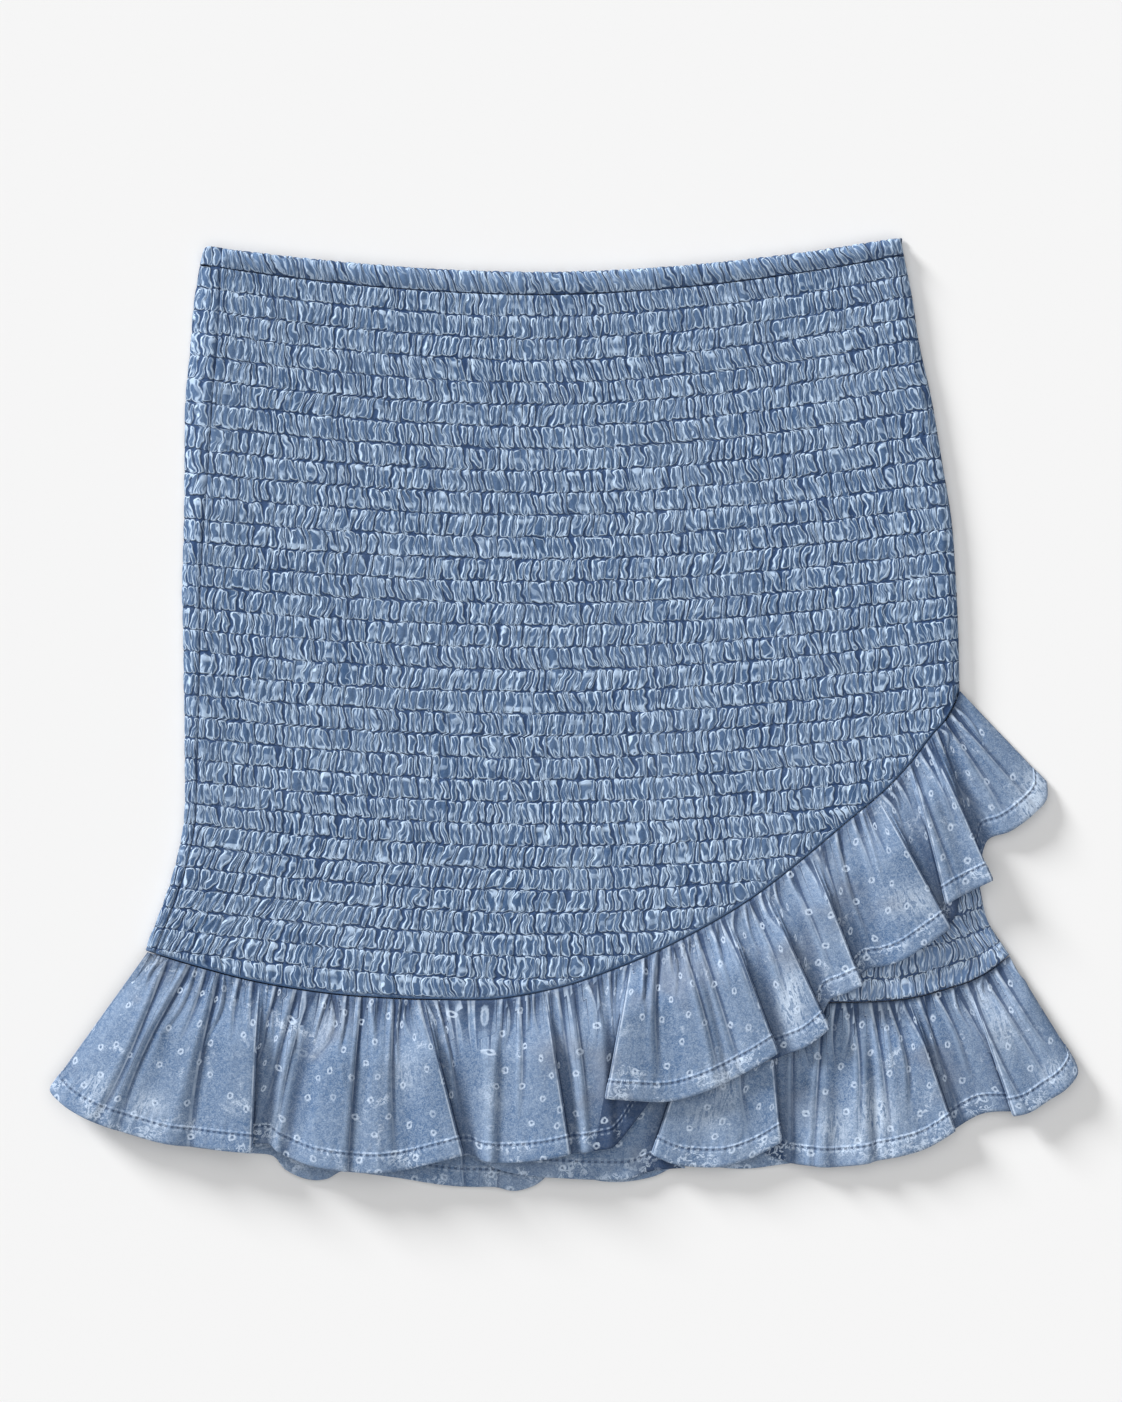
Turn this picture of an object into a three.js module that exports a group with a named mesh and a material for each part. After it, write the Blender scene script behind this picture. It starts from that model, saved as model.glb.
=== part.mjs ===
import * as THREE from 'three'
import { mergeVertices } from 'three/addons/utils/BufferGeometryUtils.js'

// A ruffled mini skirt in shirred cotton, laid flat on a surface with its front up.
// Millimetres: X runs across the skirt, Y towards the waist, Z up from the surface.
// From the surface up lie the back panel, the under front panel and the wrapped front panel, each
// with a gathered ruffle along its lower seam, and an elastic casing closes the waist.

// Walls, heights above the surface and the clearances between pieces
const SEAM_GAP = 0.3
const BODY_WALL = 1.8 // shirred cotton with its elastic thread
const RUFFLE_WALL = 1.1 // single cotton, pressed by its own folds
const UNDER_FLOOR = 2.1
const WRAP_FLOOR = 4.2
const LINE_TOP = 5.5 // the wrapped panel's face along a shirring line
const CASING_TOP = 7.5
const PUFF_HIGH = 1.5
const PUFF_LOW = 0.6

// Shirring lines: line 0 is the waist edge, line 1 holds the casing, and the rest follow in rows
const CASING_DEPTH = 9.5
const ROW_PITCH = 9.28
const WAIST_MIDDLE = 186.7
const LAST_LINE = 33
const RISE_MIDDLE = -10
const RISE_HALF_WIDTH = 151
const RISE_POWER = 1.8
const PLAIN_LINES = [4, 7, 10, 13, 16, 19, 21.5, 23.5, 25, 26, 27, 28, 29, 30, 31, 32, 33] // inner faces
const SHORTEST_CELL = 0.8 // a row cut by the lower seam is no shorter than this
const WRAP_COLUMNS = 50
const PLAIN_COLUMNS = 16

// The left side seam lies on the front, because the back panel wraps round the left edge
const BEND_RADIUS = 3.3
const BEND_INNER = 1.2
const BEND_INSET = 3.4
const UNDER_INSET = 5
const UNDER_SIDE_INSET = 7.2
const UNDER_SIDE_SHOWN = -62 // below this height the under front reaches the right edge
const PLAIN_RETREAT = 0.25 // an inner face's side, drawn in fewer points, keeps this far back

// Ruffles: where along seam to hem the folds have risen, and where cloth starts to double back
const RUFFLE_SECTIONS = [0, 0.1, 0.2, 0.35, 0.55, 0.78, 1]
const RISEN_AT = 0.4
const LAP_FROM = 0.35
const LAYER = 1.4 // from one layer of a fold to the next
const TURN_STEP = 0.6 // along the seam, between the lines that open into one fold
const WAVE_HEIGHT = 3.4
const BACK_WAVE = 1.5
const WRAP_ROOT = 5.3
const UNDER_ROOT = 3

function table(columns, rows) {
  const names = columns.split(' ')
  return rows.map((row) => Object.fromEntries(names.map((name, i) => [name, row[i] ?? 0])))
}

// Outline of the body, left and right edge and left side seam at each height
const BODY = table('y left right seam', [
  [198, -152, 142.5, -143.5],
  [175, -155.8, 147, -144.8],
  [158, -157.2, 149.5, -145.6],
  [133, -159.6, 155, -147.8],
  [108, -160, 159.2, -149.3],
  [82, -160, 163.4, -151.3],
  [57, -160.8, 165.2, -152.8],
  [32, -160.4, 166.3, -153],
  [7, -160, 166.8, -153.4],
  [-18, -159.7, 168.4, -154],
  [-43, -160, 171.4, -154.8],
  [-60, -163, 173, -158],
  [-73, -166.7, 175.2, -161.9],
  [-86, -171.4, 178.2, -166.6],
  [-94, -174.7, 183, -170],
  [-101, -177, 187.8, -172.2],
])

// Lower seam of the wrapped front, which climbs to the right side
const WRAP_SEAM = table('x y', [
  [-177, -98.3],
  [-153, -105.6],
  [-128, -111.9],
  [-98, -116.6],
  [-69, -118.7],
  [-48, -119.1],
  [-27, -118.7],
  [-2, -114],
  [15, -108.6],
  [36, -100.2],
  [57, -89.7],
  [78, -77.1],
  [99, -61.1],
  [120, -43.5],
  [135, -30.9],
  [146, -19.1],
  [155, -7.4],
  [161.7, 0.2],
  [165.1, 7.4],
  [166.6, 11.5],
])

// Lower seam of the under front and of the back
const HIP_SEAM = table('x y', [
  [-177, -98.3],
  [-153, -105.6],
  [-128, -111.9],
  [-98, -116.6],
  [-69, -118.9],
  [-30, -120.4],
  [40, -121],
  [115, -120.4],
  [136, -119.8],
  [148, -118.2],
  [160, -115],
  [171, -111.4],
  [179, -107.2],
  [187.8, -100.2],
])

// How far each shirring line rises from the middle to the sides
const RISES = table('line left right', [
  [0, 12.5, 14.5],
  [1, 14, 16.5],
  [6, 12, 16.5],
  [12, 8, 10.5],
  [20, 8.5, 10],
  [33, 11.5, 10],
])

// The wrapped front rounds down at the right side: outer and inner face, in from the edge
const SIDE_TURN = table('inset top inner under', [
  [2.6, 5.3, 2.9, 3.9],
  [0.7, 3.8, 1.9, 3.1],
  [0, 2.1, 1.6, 2.1],
])
const SIDE_TURN_DEPTH = 6

// Wrapped front's ruffle: each row runs from its root on the seam to its point on the hem. rest is
// the height of what the hem lies on, wave its rise as a share of a full wave, and lap how far the
// cloth doubles back: above zero the right edge lies on top, below zero the left edge does.
const WRAP_WAVES = table('root x y rest wave lap', [
  [-173.5, -203.5, -152, 5.6, 0.05],
  [-175, -216, -156.5, 3.6, 0.4],
  [-172, -211, -162.5, 5.2, 0.7],
  [-165.5, -198.5, -169.5, 7, 0.95],
  [-154.5, -181, -175.5, 7.8, 0.6],
  [-147, -167.5, -179, 7.8, 0.9],
  [-142.8, -156, -180.5, 7.8, 0.6],
  [-134.8, -142.5, -182, 7.8, 1],
  [-126.8, -131, -183, 7.8, 1, 12.5],
  [-118, -124.5, -179.5, 7.8, 0.05],
  [-111, -120.5, -182.5, 7.8, 0.3],
  [-101.6, -117, -184.5, 7.8, 0.05],
  [-95, -106, -188.5, 7.8, 0.7],
  [-88, -93.5, -190.5, 7.8, 0.9],
  [-85, -90, -191, 7.8, 0.55],
  [-77, -78, -191.5, 7.8, 0.8],
  [-69.7, -65.5, -190, 7.8, 0.45],
  [-63.8, -52, -186.5, 7.8, 1],
  [-58, -42.5, -184, 7.8, 1, 14],
  [-50, -38.5, -184.2, 7.8, 0.05],
  [-39.5, -34.5, -186.5, 7.8, 0.3],
  [-28.5, -31, -187, 7.8, 0.65],
  [-25.6, -27.5, -187.5, 7.8, 0.3],
  [-17.6, -18.5, -187, 7.8, 0.6],
  [-11.8, -6.5, -185.5, 7.8, 1],
  [-7.1, 2.5, -183.5, 7.8, 1, 8.5],
  [-3.4, 5, -183.3, 7.8, 0.05],
  [0.8, 9, -183, 7.8, 0.55],
  [6.7, 14.5, -182, 7.8, 0.35],
  [13.4, 20, -181, 7.8, 0.42],
  [16.8, 24, -177.5, 7.8, 0],
  [26.9, 17.5, -160.2, 7.8, 1.1, -18.5],
  [32.8, 28.5, -161, 7.8, 1.1],
  [41.2, 43.5, -161.5, 7.8, 0.7],
  [47, 57, -158, 7.8, 1],
  [52.1, 66.5, -154, 7.8, 1],
  [55, 69.5, -152.7, 7.8, 0.65],
  [63, 81, -146.5, 7.8, 1],
  [68.9, 89.5, -141.2, 7.8, 1, 10],
  [74.8, 93, -142, 7.8, 0.05],
  [79.8, 102.5, -138, 7.8, 0.6],
  [84.8, 111, -131, 7.6, 0.95, 7.5],
  [91.1, 111.5, -119.5, 7.2, 0.05],
  [97.9, 119, -116, 7, 0.6],
  [104.2, 125, -113, 7, 0.95, 6],
  [112.6, 127, -106.5, 6.4, 0.05],
  [119.3, 135, -105, 6.2, 0.15],
  [124.3, 142.5, -102.2, 6, 0.7],
  [128.5, 152, -96, 6, 1],
  [132.7, 162, -89, 5.8, 1, 6],
  [137.8, 164.2, -84.2, 5.6, 0],
  [144.5, 160.5, -79, 5.6, 1, -6.5],
  [147.4, 165.5, -76, 5.6, 1],
  [150.4, 171.5, -73, 5.6, 0.75],
  [154.6, 179.5, -69, 5.6, 1, 5.5],
  [158.2, 178, -52.5, 3, 0.05],
  [160.4, 187.5, -48.5, 2, 0.65],
  [163, 196.5, -42, 1.2, 0.9],
  [165.2, 203, -35, 0.8, 0.6],
  [166.3, 203.5, -28, 0.6, 0.1],
])

// Under front's ruffle, hidden left of the middle
const UNDER_WAVES = table('root x y rest wave lap', [
  [-167.5, -196, -150.5, 3, 0.1],
  [-161, -188, -163.5, 3, 0.5],
  [-146.5, -169.5, -171.5, 3, 0.15],
  [-130, -146.5, -176, 3, 0.7],
  [-111, -123.5, -178.5, 3, 0.2],
  [-92, -98.5, -181, 3, 0.7],
  [-73, -75, -182, 3, 0.2],
  [-56, -56, -182, 3, 0.6],
  [-41.5, -41, -184.5, 3, 0.3],
  [-29, -27.5, -190.5, 3, 0.7],
  [-16.5, -16, -193.3, 3, 0.3],
  [-1.5, -1.5, -194.2, 3, 0.6],
  [15, 14, -195, 3, 0.3],
  [32, 27, -194.7, 3, 0.35],
  [43.5, 36.5, -191.5, 3, 0.1],
  [57, 37, -184.2, 3, 1, -14.5],
  [62, 45.5, -188, 3, 1],
  [69, 56.5, -189.5, 3, 0.8],
  [75, 66.5, -189.2, 3, 1],
  [80.5, 79, -185.5, 3, 0.9],
  [86.5, 91, -179, 3, 1, 9],
  [95, 95, -188, 3, 0.05],
  [105.5, 102.5, -189, 3, 0.4],
  [111.5, 108.5, -189.6, 3, 0.75],
  [116, 114, -189.6, 3, 0.4],
  [125, 127.5, -188, 3, 1],
  [128, 131, -187, 3, 0.6],
  [135, 141, -185, 3, 0.95],
  [141, 152.5, -181.5, 3, 0.8],
  [146, 164, -174.5, 3, 1, 7.5],
  [151.5, 167, -172, 3, 0.05],
  [160, 177, -167, 3, 0.1],
  [169, 189, -168, 3, 1, -6],
  [174, 195.5, -166.5, 3, 1],
  [179, 203.5, -161.5, 3, 0.8],
  [183, 211, -156.5, 2.8, 1],
  [186, 216, -150, 2.4, 0.6],
  [187.2, 215, -145.5, 2.2, 0.1],
])

// Back ruffle, which lies on the surface and only peeps out below the others
const BACK_WAVES = table('root x y wave', [
  [-170, -198, -151, 0.1],
  [-160, -186, -167, 0.6],
  [-148, -166, -176, 0.3],
  [-136, -147, -180.8, 0.8],
  [-124, -133, -184, 0.4],
  [-115, -122.5, -185.5, 0.2],
  [-109, -117.5, -191, 0.6],
  [-99, -107.5, -195.2, 1],
  [-91, -100, -195, 0.9],
  [-84, -93.5, -191.8, 0.2],
  [-72, -81.5, -193, 0.8],
  [-61, -69.5, -194.7, 0.4],
  [-45, -51, -197.5, 0.9],
  [-36, -39.5, -198.4, 0.5],
  [-27, -29, -198.4, 1],
  [-20, -21, -200.1, 0.6],
  [-11, -12, -197.5, 0.9],
  [-5, -6.5, -193.8, 0.2],
  [6, 4.5, -193, 0.5],
  [17, 15, -195.8, 0.8],
  [28, 26, -196.2, 0.4],
  [40, 38, -193.8, 0.8],
  [50, 48.5, -189.3, 0.2],
  [60, 59.5, -189.6, 0.6],
  [70, 70, -190.5, 0.9],
  [80, 79, -190.6, 0.4],
  [90, 90.5, -189, 0.8],
  [108, 111.5, -186.3, 0.3],
  [126, 132.5, -182.5, 0.8],
  [145, 153.5, -176, 0.3],
  [162, 172.5, -163.5, 0.7],
  [173, 189, -159, 0.3],
  [181, 203, -153.5, 0.6],
  [185.5, 209, -144.5, 0.2],
])

// Colours of the washed cotton
const BODY_BLUE = 0x7689a4
const CASING_BLUE = 0x6f839f
const RUFFLE_BLUE = 0x7c90ac
const UNDER_BLUE = 0x72849f
const BACK_BLUE = 0x687a95

function smooth(t) {
  const s = Math.min(1, Math.max(0, t))
  return s * s * (3 - 2 * s)
}

// A smooth function through a table's rows, from one named column to another
function through(rows, from, to) {
  const order = [...rows].sort((a, b) => a[from] - b[from])
  const last = order.length - 1
  const slopes = order.map((row, i) => {
    const before = order[Math.max(0, i - 1)]
    const after = order[Math.min(last, i + 1)]
    return (after[to] - before[to]) / (after[from] - before[from])
  })
  return (value) => {
    const v = Math.min(order[last][from], Math.max(order[0][from], value))
    let i = 0
    while (i < last - 1 && v > order[i + 1][from]) i += 1
    const width = order[i + 1][from] - order[i][from]
    const t = (v - order[i][from]) / width
    const bend = slopes[i] * width * (t - 2 * t * t + t * t * t) + slopes[i + 1] * width * (t * t * t - t * t)
    return order[i][to] + (order[i + 1][to] - order[i][to]) * smooth(t) + bend
  }
}

const leftEdge = through(BODY, 'y', 'left')
const rightEdge = through(BODY, 'y', 'right')
const sideSeam = through(BODY, 'y', 'seam')
const wrapSeam = through(WRAP_SEAM, 'x', 'y')
const hipSeam = through(HIP_SEAM, 'x', 'y')
const riseLeft = through(RISES, 'line', 'left')
const riseRight = through(RISES, 'line', 'right')

// Height on the skirt of a shirring line, which may be a part of a line, at one place across
function lineAt(line, x) {
  const down = line < 1 ? line * CASING_DEPTH : CASING_DEPTH + (line - 1) * ROW_PITCH
  const u = (x - RISE_MIDDLE) / RISE_HALF_WIDTH
  const rise = u < 0 ? riseLeft(line) : riseRight(line)
  return WAIST_MIDDLE - down + rise * Math.abs(u) ** RISE_POWER
}

// A point on a line: across gives the place for a height, and the height follows that place. A
// point that would fall below the lower seam stays on it.
function onLine(line, across, seam) {
  const tries = 14
  let x = across(lineAt(line, 0))
  for (let turn = 0; turn < tries; turn += 1) x = across(lineAt(line, x))
  const y = lineAt(line, x)
  if (y - seam(x) > SHORTEST_CELL) return { x, y, cut: false }
  for (let turn = 0; turn < tries; turn += 1) x = across(seam(x))
  return { x, y: seam(x), cut: true }
}

function steps(from, to, size) {
  const count = Math.round((to - from) / size)
  return Array.from({ length: count + 1 }, (_, i) => from + (i * (to - from)) / count)
}

function reversed(line) {
  return [...line].reverse()
}

function column(grid, i) {
  return grid.map((row) => row.at(i))
}

// The sides of a grid of points, in turn round its edge
function sidesOf(grid) {
  return [grid[0], column(grid, -1), reversed(grid.at(-1)), reversed(column(grid, 0))]
}

// A closed skin, gathered triangle by triangle
class Skin {
  constructor() {
    this.corners = []
  }

  triangle(a, b, c) {
    const least = 2e-3
    if (a.distanceTo(b) < least || b.distanceTo(c) < least || c.distanceTo(a) < least) return
    this.corners.push(a, b, c)
  }

  sheet(grid, inward = false) {
    for (let j = 0; j + 1 < grid.length; j += 1) {
      for (let i = 0; i + 1 < grid[j].length; i += 1) {
        const [a, b] = [grid[j][i], grid[j][i + 1]]
        const [d, c] = [grid[j + 1][i], grid[j + 1][i + 1]]
        if (inward) {
          this.triangle(a, c, b)
          this.triangle(a, d, c)
        } else {
          this.triangle(a, b, c)
          this.triangle(a, c, d)
        }
      }
    }
  }

  // Joins two lines of points that run side by side, whatever their numbers of points
  zip(outer, inner) {
    const share = (line) => {
      const far = [0]
      for (let i = 1; i < line.length; i += 1) far.push(far[i - 1] + line[i].distanceTo(line[i - 1]))
      return far.map((f) => f / (far.at(-1) || 1))
    }
    const [p, q] = [share(outer), share(inner)]
    let [i, k] = [0, 0]
    while (i < outer.length - 1 || k < inner.length - 1) {
      const outerNext = k >= inner.length - 1 || (i < outer.length - 1 && p[i + 1] <= q[k + 1])
      if (outerNext) {
        this.triangle(outer[i + 1], outer[i], inner[k])
        i += 1
      } else {
        this.triangle(outer[i], inner[k], inner[k + 1])
        k += 1
      }
    }
  }

  close(outerSides, innerSides) {
    outerSides.forEach((side, i) => this.zip(side, innerSides[i]))
  }

  // The skin's mesh, turned so that its faces point out
  mesh(name, color) {
    const centre = new THREE.Vector3()
    this.corners.forEach((p) => centre.add(p))
    centre.divideScalar(this.corners.length)
    let volume = 0
    const [a, b, c] = [new THREE.Vector3(), new THREE.Vector3(), new THREE.Vector3()]
    for (let i = 0; i < this.corners.length; i += 3) {
      a.subVectors(this.corners[i], centre)
      b.subVectors(this.corners[i + 1], centre)
      c.subVectors(this.corners[i + 2], centre)
      volume += a.dot(b.cross(c))
    }
    const corners = volume < 0 ? reversed(this.corners) : this.corners
    const geometry = new THREE.BufferGeometry()
    const places = corners.flatMap((p) => [p.x, p.y, p.z])
    geometry.setAttribute('position', new THREE.Float32BufferAttribute(places, 3))
    const closed = mergeVertices(geometry, 1e-3)
    closed.computeVertexNormals()
    const cotton = new THREE.MeshStandardMaterial({ color, roughness: 0.9, metalness: 0 })
    const mesh = new THREE.Mesh(closed, cotton)
    mesh.name = name
    return mesh
  }
}

// Rise of the cloth between shirring lines, alternately high and low along and across the rows
function puff(line, i) {
  const part = line - Math.floor(line)
  if (part < 0.25 || part > 0.75) return i % 2 ? 0.12 : 0
  return (i + Math.floor(line)) % 2 ? PUFF_HIGH : PUFF_LOW
}

// Across the wrapped front: even columns from the side seam, then round the right side
function wrapAcross(i, columns, inset) {
  return (y) => {
    const right = rightEdge(y)
    if (i > columns) return right - SIDE_TURN[i - columns - 1][inset]
    const left = sideSeam(y) + SEAM_GAP + (inset === 'inner' ? PLAIN_RETREAT : 0)
    return left + ((right - SIDE_TURN_DEPTH - left) * i) / columns
  }
}

function wrapGrid(lines, columns, inset, seam, height) {
  return lines.map((line) => {
    const row = []
    for (let i = 0; i <= columns + SIDE_TURN.length; i += 1) {
      const place = onLine(line, wrapAcross(i, columns, inset), seam)
      row.push(new THREE.Vector3(place.x, place.y, height(line, i, place.cut)))
    }
    return row
  })
}

function wrapTop(line, i, cut) {
  if (i > WRAP_COLUMNS) return SIDE_TURN[i - WRAP_COLUMNS - 1].top
  return cut ? LINE_TOP + 0.2 : LINE_TOP + puff(line, i)
}

function wrapUnder(line, i) {
  return i > PLAIN_COLUMNS ? SIDE_TURN[i - PLAIN_COLUMNS - 1].under : WRAP_FLOOR
}

function frontWrapPanel() {
  const skin = new Skin()
  const first = 1 + SEAM_GAP / ROW_PITCH
  const outer = wrapGrid([first, ...steps(1.5, LAST_LINE, 0.5)], WRAP_COLUMNS, 'inset', wrapSeam, wrapTop)
  const inner = wrapGrid([first, ...PLAIN_LINES], PLAIN_COLUMNS, 'inner', wrapSeam, wrapUnder)
  skin.sheet(outer)
  skin.sheet(inner, true)
  skin.close(sidesOf(outer), sidesOf(inner))
  return skin.mesh('front_wrap_panel', BODY_BLUE)
}

// The waist casing's front, a puffed tube over its elastic with slanting gathers
function waistCasingFront() {
  const skin = new Skin()
  const bulge = table('line height', [
    [0, 0.25],
    [0.12, 0.72],
    [0.38, 1],
    [0.65, 0.95],
    [0.88, 0.6],
    [1, 0.35],
  ])
  const noSeam = () => -Infinity
  const height = (line, i) => {
    if (i > WRAP_COLUMNS) return SIDE_TURN[i - WRAP_COLUMNS - 1].top
    const rise = bulge.find((row) => row.line === line).height
    const gather = (i + Math.round(line * 3)) % 2 ? 0.45 : 0
    return WRAP_FLOOR + (CASING_TOP - WRAP_FLOOR - gather) * rise
  }
  const lines = bulge.map((row) => row.line)
  const outer = wrapGrid(lines, WRAP_COLUMNS, 'inset', noSeam, height)
  const inner = wrapGrid([0, 1], PLAIN_COLUMNS, 'inner', noSeam, wrapUnder)
  skin.sheet(outer)
  skin.sheet(inner, true)
  skin.close(sidesOf(outer), sidesOf(inner))
  return skin.mesh('waist_casing_front', CASING_BLUE)
}

// The under front: plain where the wrapped front hides it, shirred at the lower right where it shows
function frontUnderPanel() {
  const skin = new Skin()
  const shownFrom = { x: 112, line: 28 }
  const plainColumns = 8
  const shownColumns = 12
  const right = (y) => rightEdge(y) - UNDER_SIDE_INSET * smooth((y - UNDER_SIDE_SHOWN) / 14)
  const left = (y) => leftEdge(y) + UNDER_INSET
  const across = (i) => (y) => {
    if (i <= plainColumns) return left(y) + ((shownFrom.x - left(y)) * i) / plainColumns
    return shownFrom.x + ((right(y) - shownFrom.x) * (i - plainColumns)) / shownColumns
  }
  const grid = (lines, columns, height) =>
    lines.map((line) =>
      columns.map((i) => {
        const place = onLine(line, across(i), hipSeam)
        return new THREE.Vector3(place.x, place.y, height(line, i, place.cut))
      }),
    )
  const top = UNDER_FLOOR + BODY_WALL
  const relief = (line, i, cut) => {
    const plain = cut || line <= shownFrom.line || i <= plainColumns || i === plainColumns + shownColumns
    return plain ? top : top - 0.2 + puff(line, i) * 0.8
  }
  const lastLine = 36
  const coarse = [0.2, 4, 8, 12, 15, 17.5, 20, 23, 26]
  const outer = grid([...coarse, ...steps(28, lastLine, 0.5)], steps(0, plainColumns + shownColumns, 1), relief)
  const plainLines = [0.2, 4, 8, 12, 15, 17.5, 20, 23, 26, 28, 30, 32, 34, lastLine]
  const inner = grid(plainLines, [0, 2, 4, 6, 8, 11, 14, 17, 20], () => UNDER_FLOOR)
  skin.sheet(outer)
  skin.sheet(inner, true)
  skin.close(sidesOf(outer), sidesOf(inner))
  return skin.mesh('front_under_panel', UNDER_BLUE)
}

// A stretch of the back between two lines. Its underside lies flat; at the left it bends up round
// the edge and ends on the front at the side seam, where its rows show.
function backPiece(name, color, lines, plainLines) {
  const skin = new Skin()
  const turns = [Math.PI / 2, 2.36, Math.PI, 3.93]
  const flatFrom = 9
  const flatColumns = 12
  const strip = (line) => (inward) => {
    const row = []
    const rise = (i) => (inward ? WRAP_FLOOR : LINE_TOP + 0.1 + puff(line, i) * 0.9)
    const radius = inward ? BEND_INNER : BEND_RADIUS
    const middle = inward ? BODY_WALL + BEND_INNER : BEND_RADIUS
    const add = (across, z) => {
      const place = onLine(line, across, hipSeam)
      row.push(new THREE.Vector3(place.x, place.y, place.cut && z > LINE_TOP ? LINE_TOP : z))
    }
    add((y) => sideSeam(y) - (inward ? PLAIN_RETREAT : 0), rise(0))
    add((y) => (sideSeam(y) + leftEdge(y) + BEND_INSET) / 2, rise(1))
    turns.forEach((angle) => {
      const z = angle === Math.PI / 2 ? rise(2) : middle + radius * Math.sin(angle)
      add((y) => leftEdge(y) + BEND_INSET + radius * Math.cos(angle), z)
    })
    add((y) => leftEdge(y) + BEND_INSET, inward ? BODY_WALL : 0)
    return row
  }
  const flat = (line, z) => {
    const row = []
    for (let i = 0; i <= flatColumns; i += 1) {
      const across = (y) => {
        const from = leftEdge(y) + flatFrom
        return from + ((rightEdge(y) - from) * i) / flatColumns
      }
      const place = onLine(line, across, hipSeam)
      row.push(new THREE.Vector3(place.x, place.y, z))
    }
    return row
  }
  const bend = lines.map((line) => strip(line)(false))
  const underside = plainLines.map((line) => flat(line, 0))
  const inner = plainLines.map((line) => [...strip(line)(true), ...flat(line, BODY_WALL)])
  skin.sheet(bend)
  skin.sheet(underside)
  skin.zip(column(bend, -1), column(underside, 0))
  skin.sheet(inner, true)
  const outerSides = [
    [...bend[0], ...underside[0]],
    column(underside, -1),
    reversed([...bend.at(-1), ...underside.at(-1)]),
    reversed(column(bend, 0)),
  ]
  skin.close(outerSides, sidesOf(inner))
  return skin.mesh(name, color)
}

// A point on a seam, moved out from it by the seam's clearance
function rootPoint(seam, x) {
  const reach = 1.5
  const slope = (seam(x + reach) - seam(x - reach)) / (2 * reach)
  const out = new THREE.Vector2(slope, -1).normalize().multiplyScalar(SEAM_GAP + 0.1)
  return new THREE.Vector2(x + out.x, seam(x) + out.y)
}

// The lines of cloth along a ruffle. A folded row becomes four, because the cloth turns down at the
// fold, runs back under itself, turns down again and comes out below.
function clothLines(rows) {
  const lines = []
  rows.forEach((row, i) => {
    const hem = new THREE.Vector2(row.x, row.y)
    if (!row.lap) {
      lines.push({ ...row, hem, drop: 0, back: new THREE.Vector2() })
      return
    }
    const near = rows[row.lap > 0 ? i - 1 : i + 1]
    const along = new THREE.Vector2(near.x, near.y).sub(hem).normalize().multiplyScalar(Math.abs(row.lap))
    const still = new THREE.Vector2()
    const turns = [
      { drop: 0, back: still },
      { drop: 1, back: still },
      { drop: 1.2, back: along },
      { drop: 2.2, back: along },
    ]
    const order = row.lap > 0 ? turns : reversed(turns)
    order.forEach((turn, step) => {
      lines.push({ ...row, ...turn, hem, root: row.root + (step - 1.5) * TURN_STEP })
    })
  })
  return lines
}

// The middle of the cloth, line by line, at one section between seam and hem
function clothSection(lines, t, seam, rootHeight) {
  const risen = smooth(t / RISEN_AT)
  const lapped = Math.max(0, (t - LAP_FROM) / (1 - LAP_FROM))
  return lines.map((line) => {
    const place = rootPoint(seam, line.root).lerp(line.hem, t).addScaledVector(line.back, lapped)
    const full = line.rest + RUFFLE_WALL / 2 + line.wave * WAVE_HEIGHT - line.drop * LAYER
    const z = rootHeight(line.root) * (1 - risen) + full * risen
    return new THREE.Vector3(place.x, place.y, z)
  })
}

// Outward direction of the cloth at each point of a grid, longer at a fold so the wall keeps its width
function facing(grid, j, i) {
  const row = grid[j]
  const down = new THREE.Vector3().subVectors(grid[Math.min(grid.length - 1, j + 1)][i], grid[Math.max(0, j - 1)][i])
  const normals = []
  if (i > 0) normals.push(down.clone().cross(new THREE.Vector3().subVectors(row[i], row[i - 1])).normalize())
  if (i < row.length - 1) {
    normals.push(down.clone().cross(new THREE.Vector3().subVectors(row[i + 1], row[i])).normalize())
  }
  const mean = new THREE.Vector3()
  normals.forEach((n) => mean.add(n))
  mean.normalize()
  return mean.divideScalar(Math.max(0.75, mean.dot(normals[0])))
}

function foldedRuffle(name, color, rows, seam, rootHeight) {
  const skin = new Skin()
  const lines = clothLines(rows)
  const middle = RUFFLE_SECTIONS.map((t) => clothSection(lines, t, seam, rootHeight))
  const face = (side) =>
    middle.map((row, j) => row.map((p, i) => p.clone().addScaledVector(facing(middle, j, i), side * RUFFLE_WALL / 2)))
  const outer = face(1)
  const inner = face(-1)
  skin.sheet(outer)
  skin.sheet(inner, true)
  skin.close(sidesOf(outer), sidesOf(inner))
  return skin.mesh(name, color)
}

// The wrapped front's seam dips where its panel rounds down at the right side
function wrapRoot(x) {
  return WRAP_ROOT - 2.1 * smooth((x - 159) / 8)
}

// The back ruffle: flat underneath, where it lies on the surface, with waves on top
function backRuffle() {
  const skin = new Skin()
  const sections = [0, 0.15, 0.35, 0.65, 1]
  const grid = (height) =>
    sections.map((t) =>
      BACK_WAVES.map((row) => {
        const place = rootPoint(hipSeam, row.root).lerp(new THREE.Vector2(row.x, row.y), t)
        return new THREE.Vector3(place.x, place.y, height(row, t))
      }),
    )
  const outer = grid((row, t) => RUFFLE_WALL + row.wave * BACK_WAVE * smooth(t / RISEN_AT))
  const inner = grid(() => 0)
  skin.sheet(outer)
  skin.sheet(inner, true)
  skin.close(sidesOf(outer), sidesOf(inner))
  return skin.mesh('back_ruffle', BACK_BLUE)
}

const belowCasing = 1 + SEAM_GAP / ROW_PITCH
const backLines = [belowCasing, ...steps(1.5, 34, 0.5)]
const backPlainLines = [belowCasing, ...PLAIN_LINES, 34]

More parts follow.
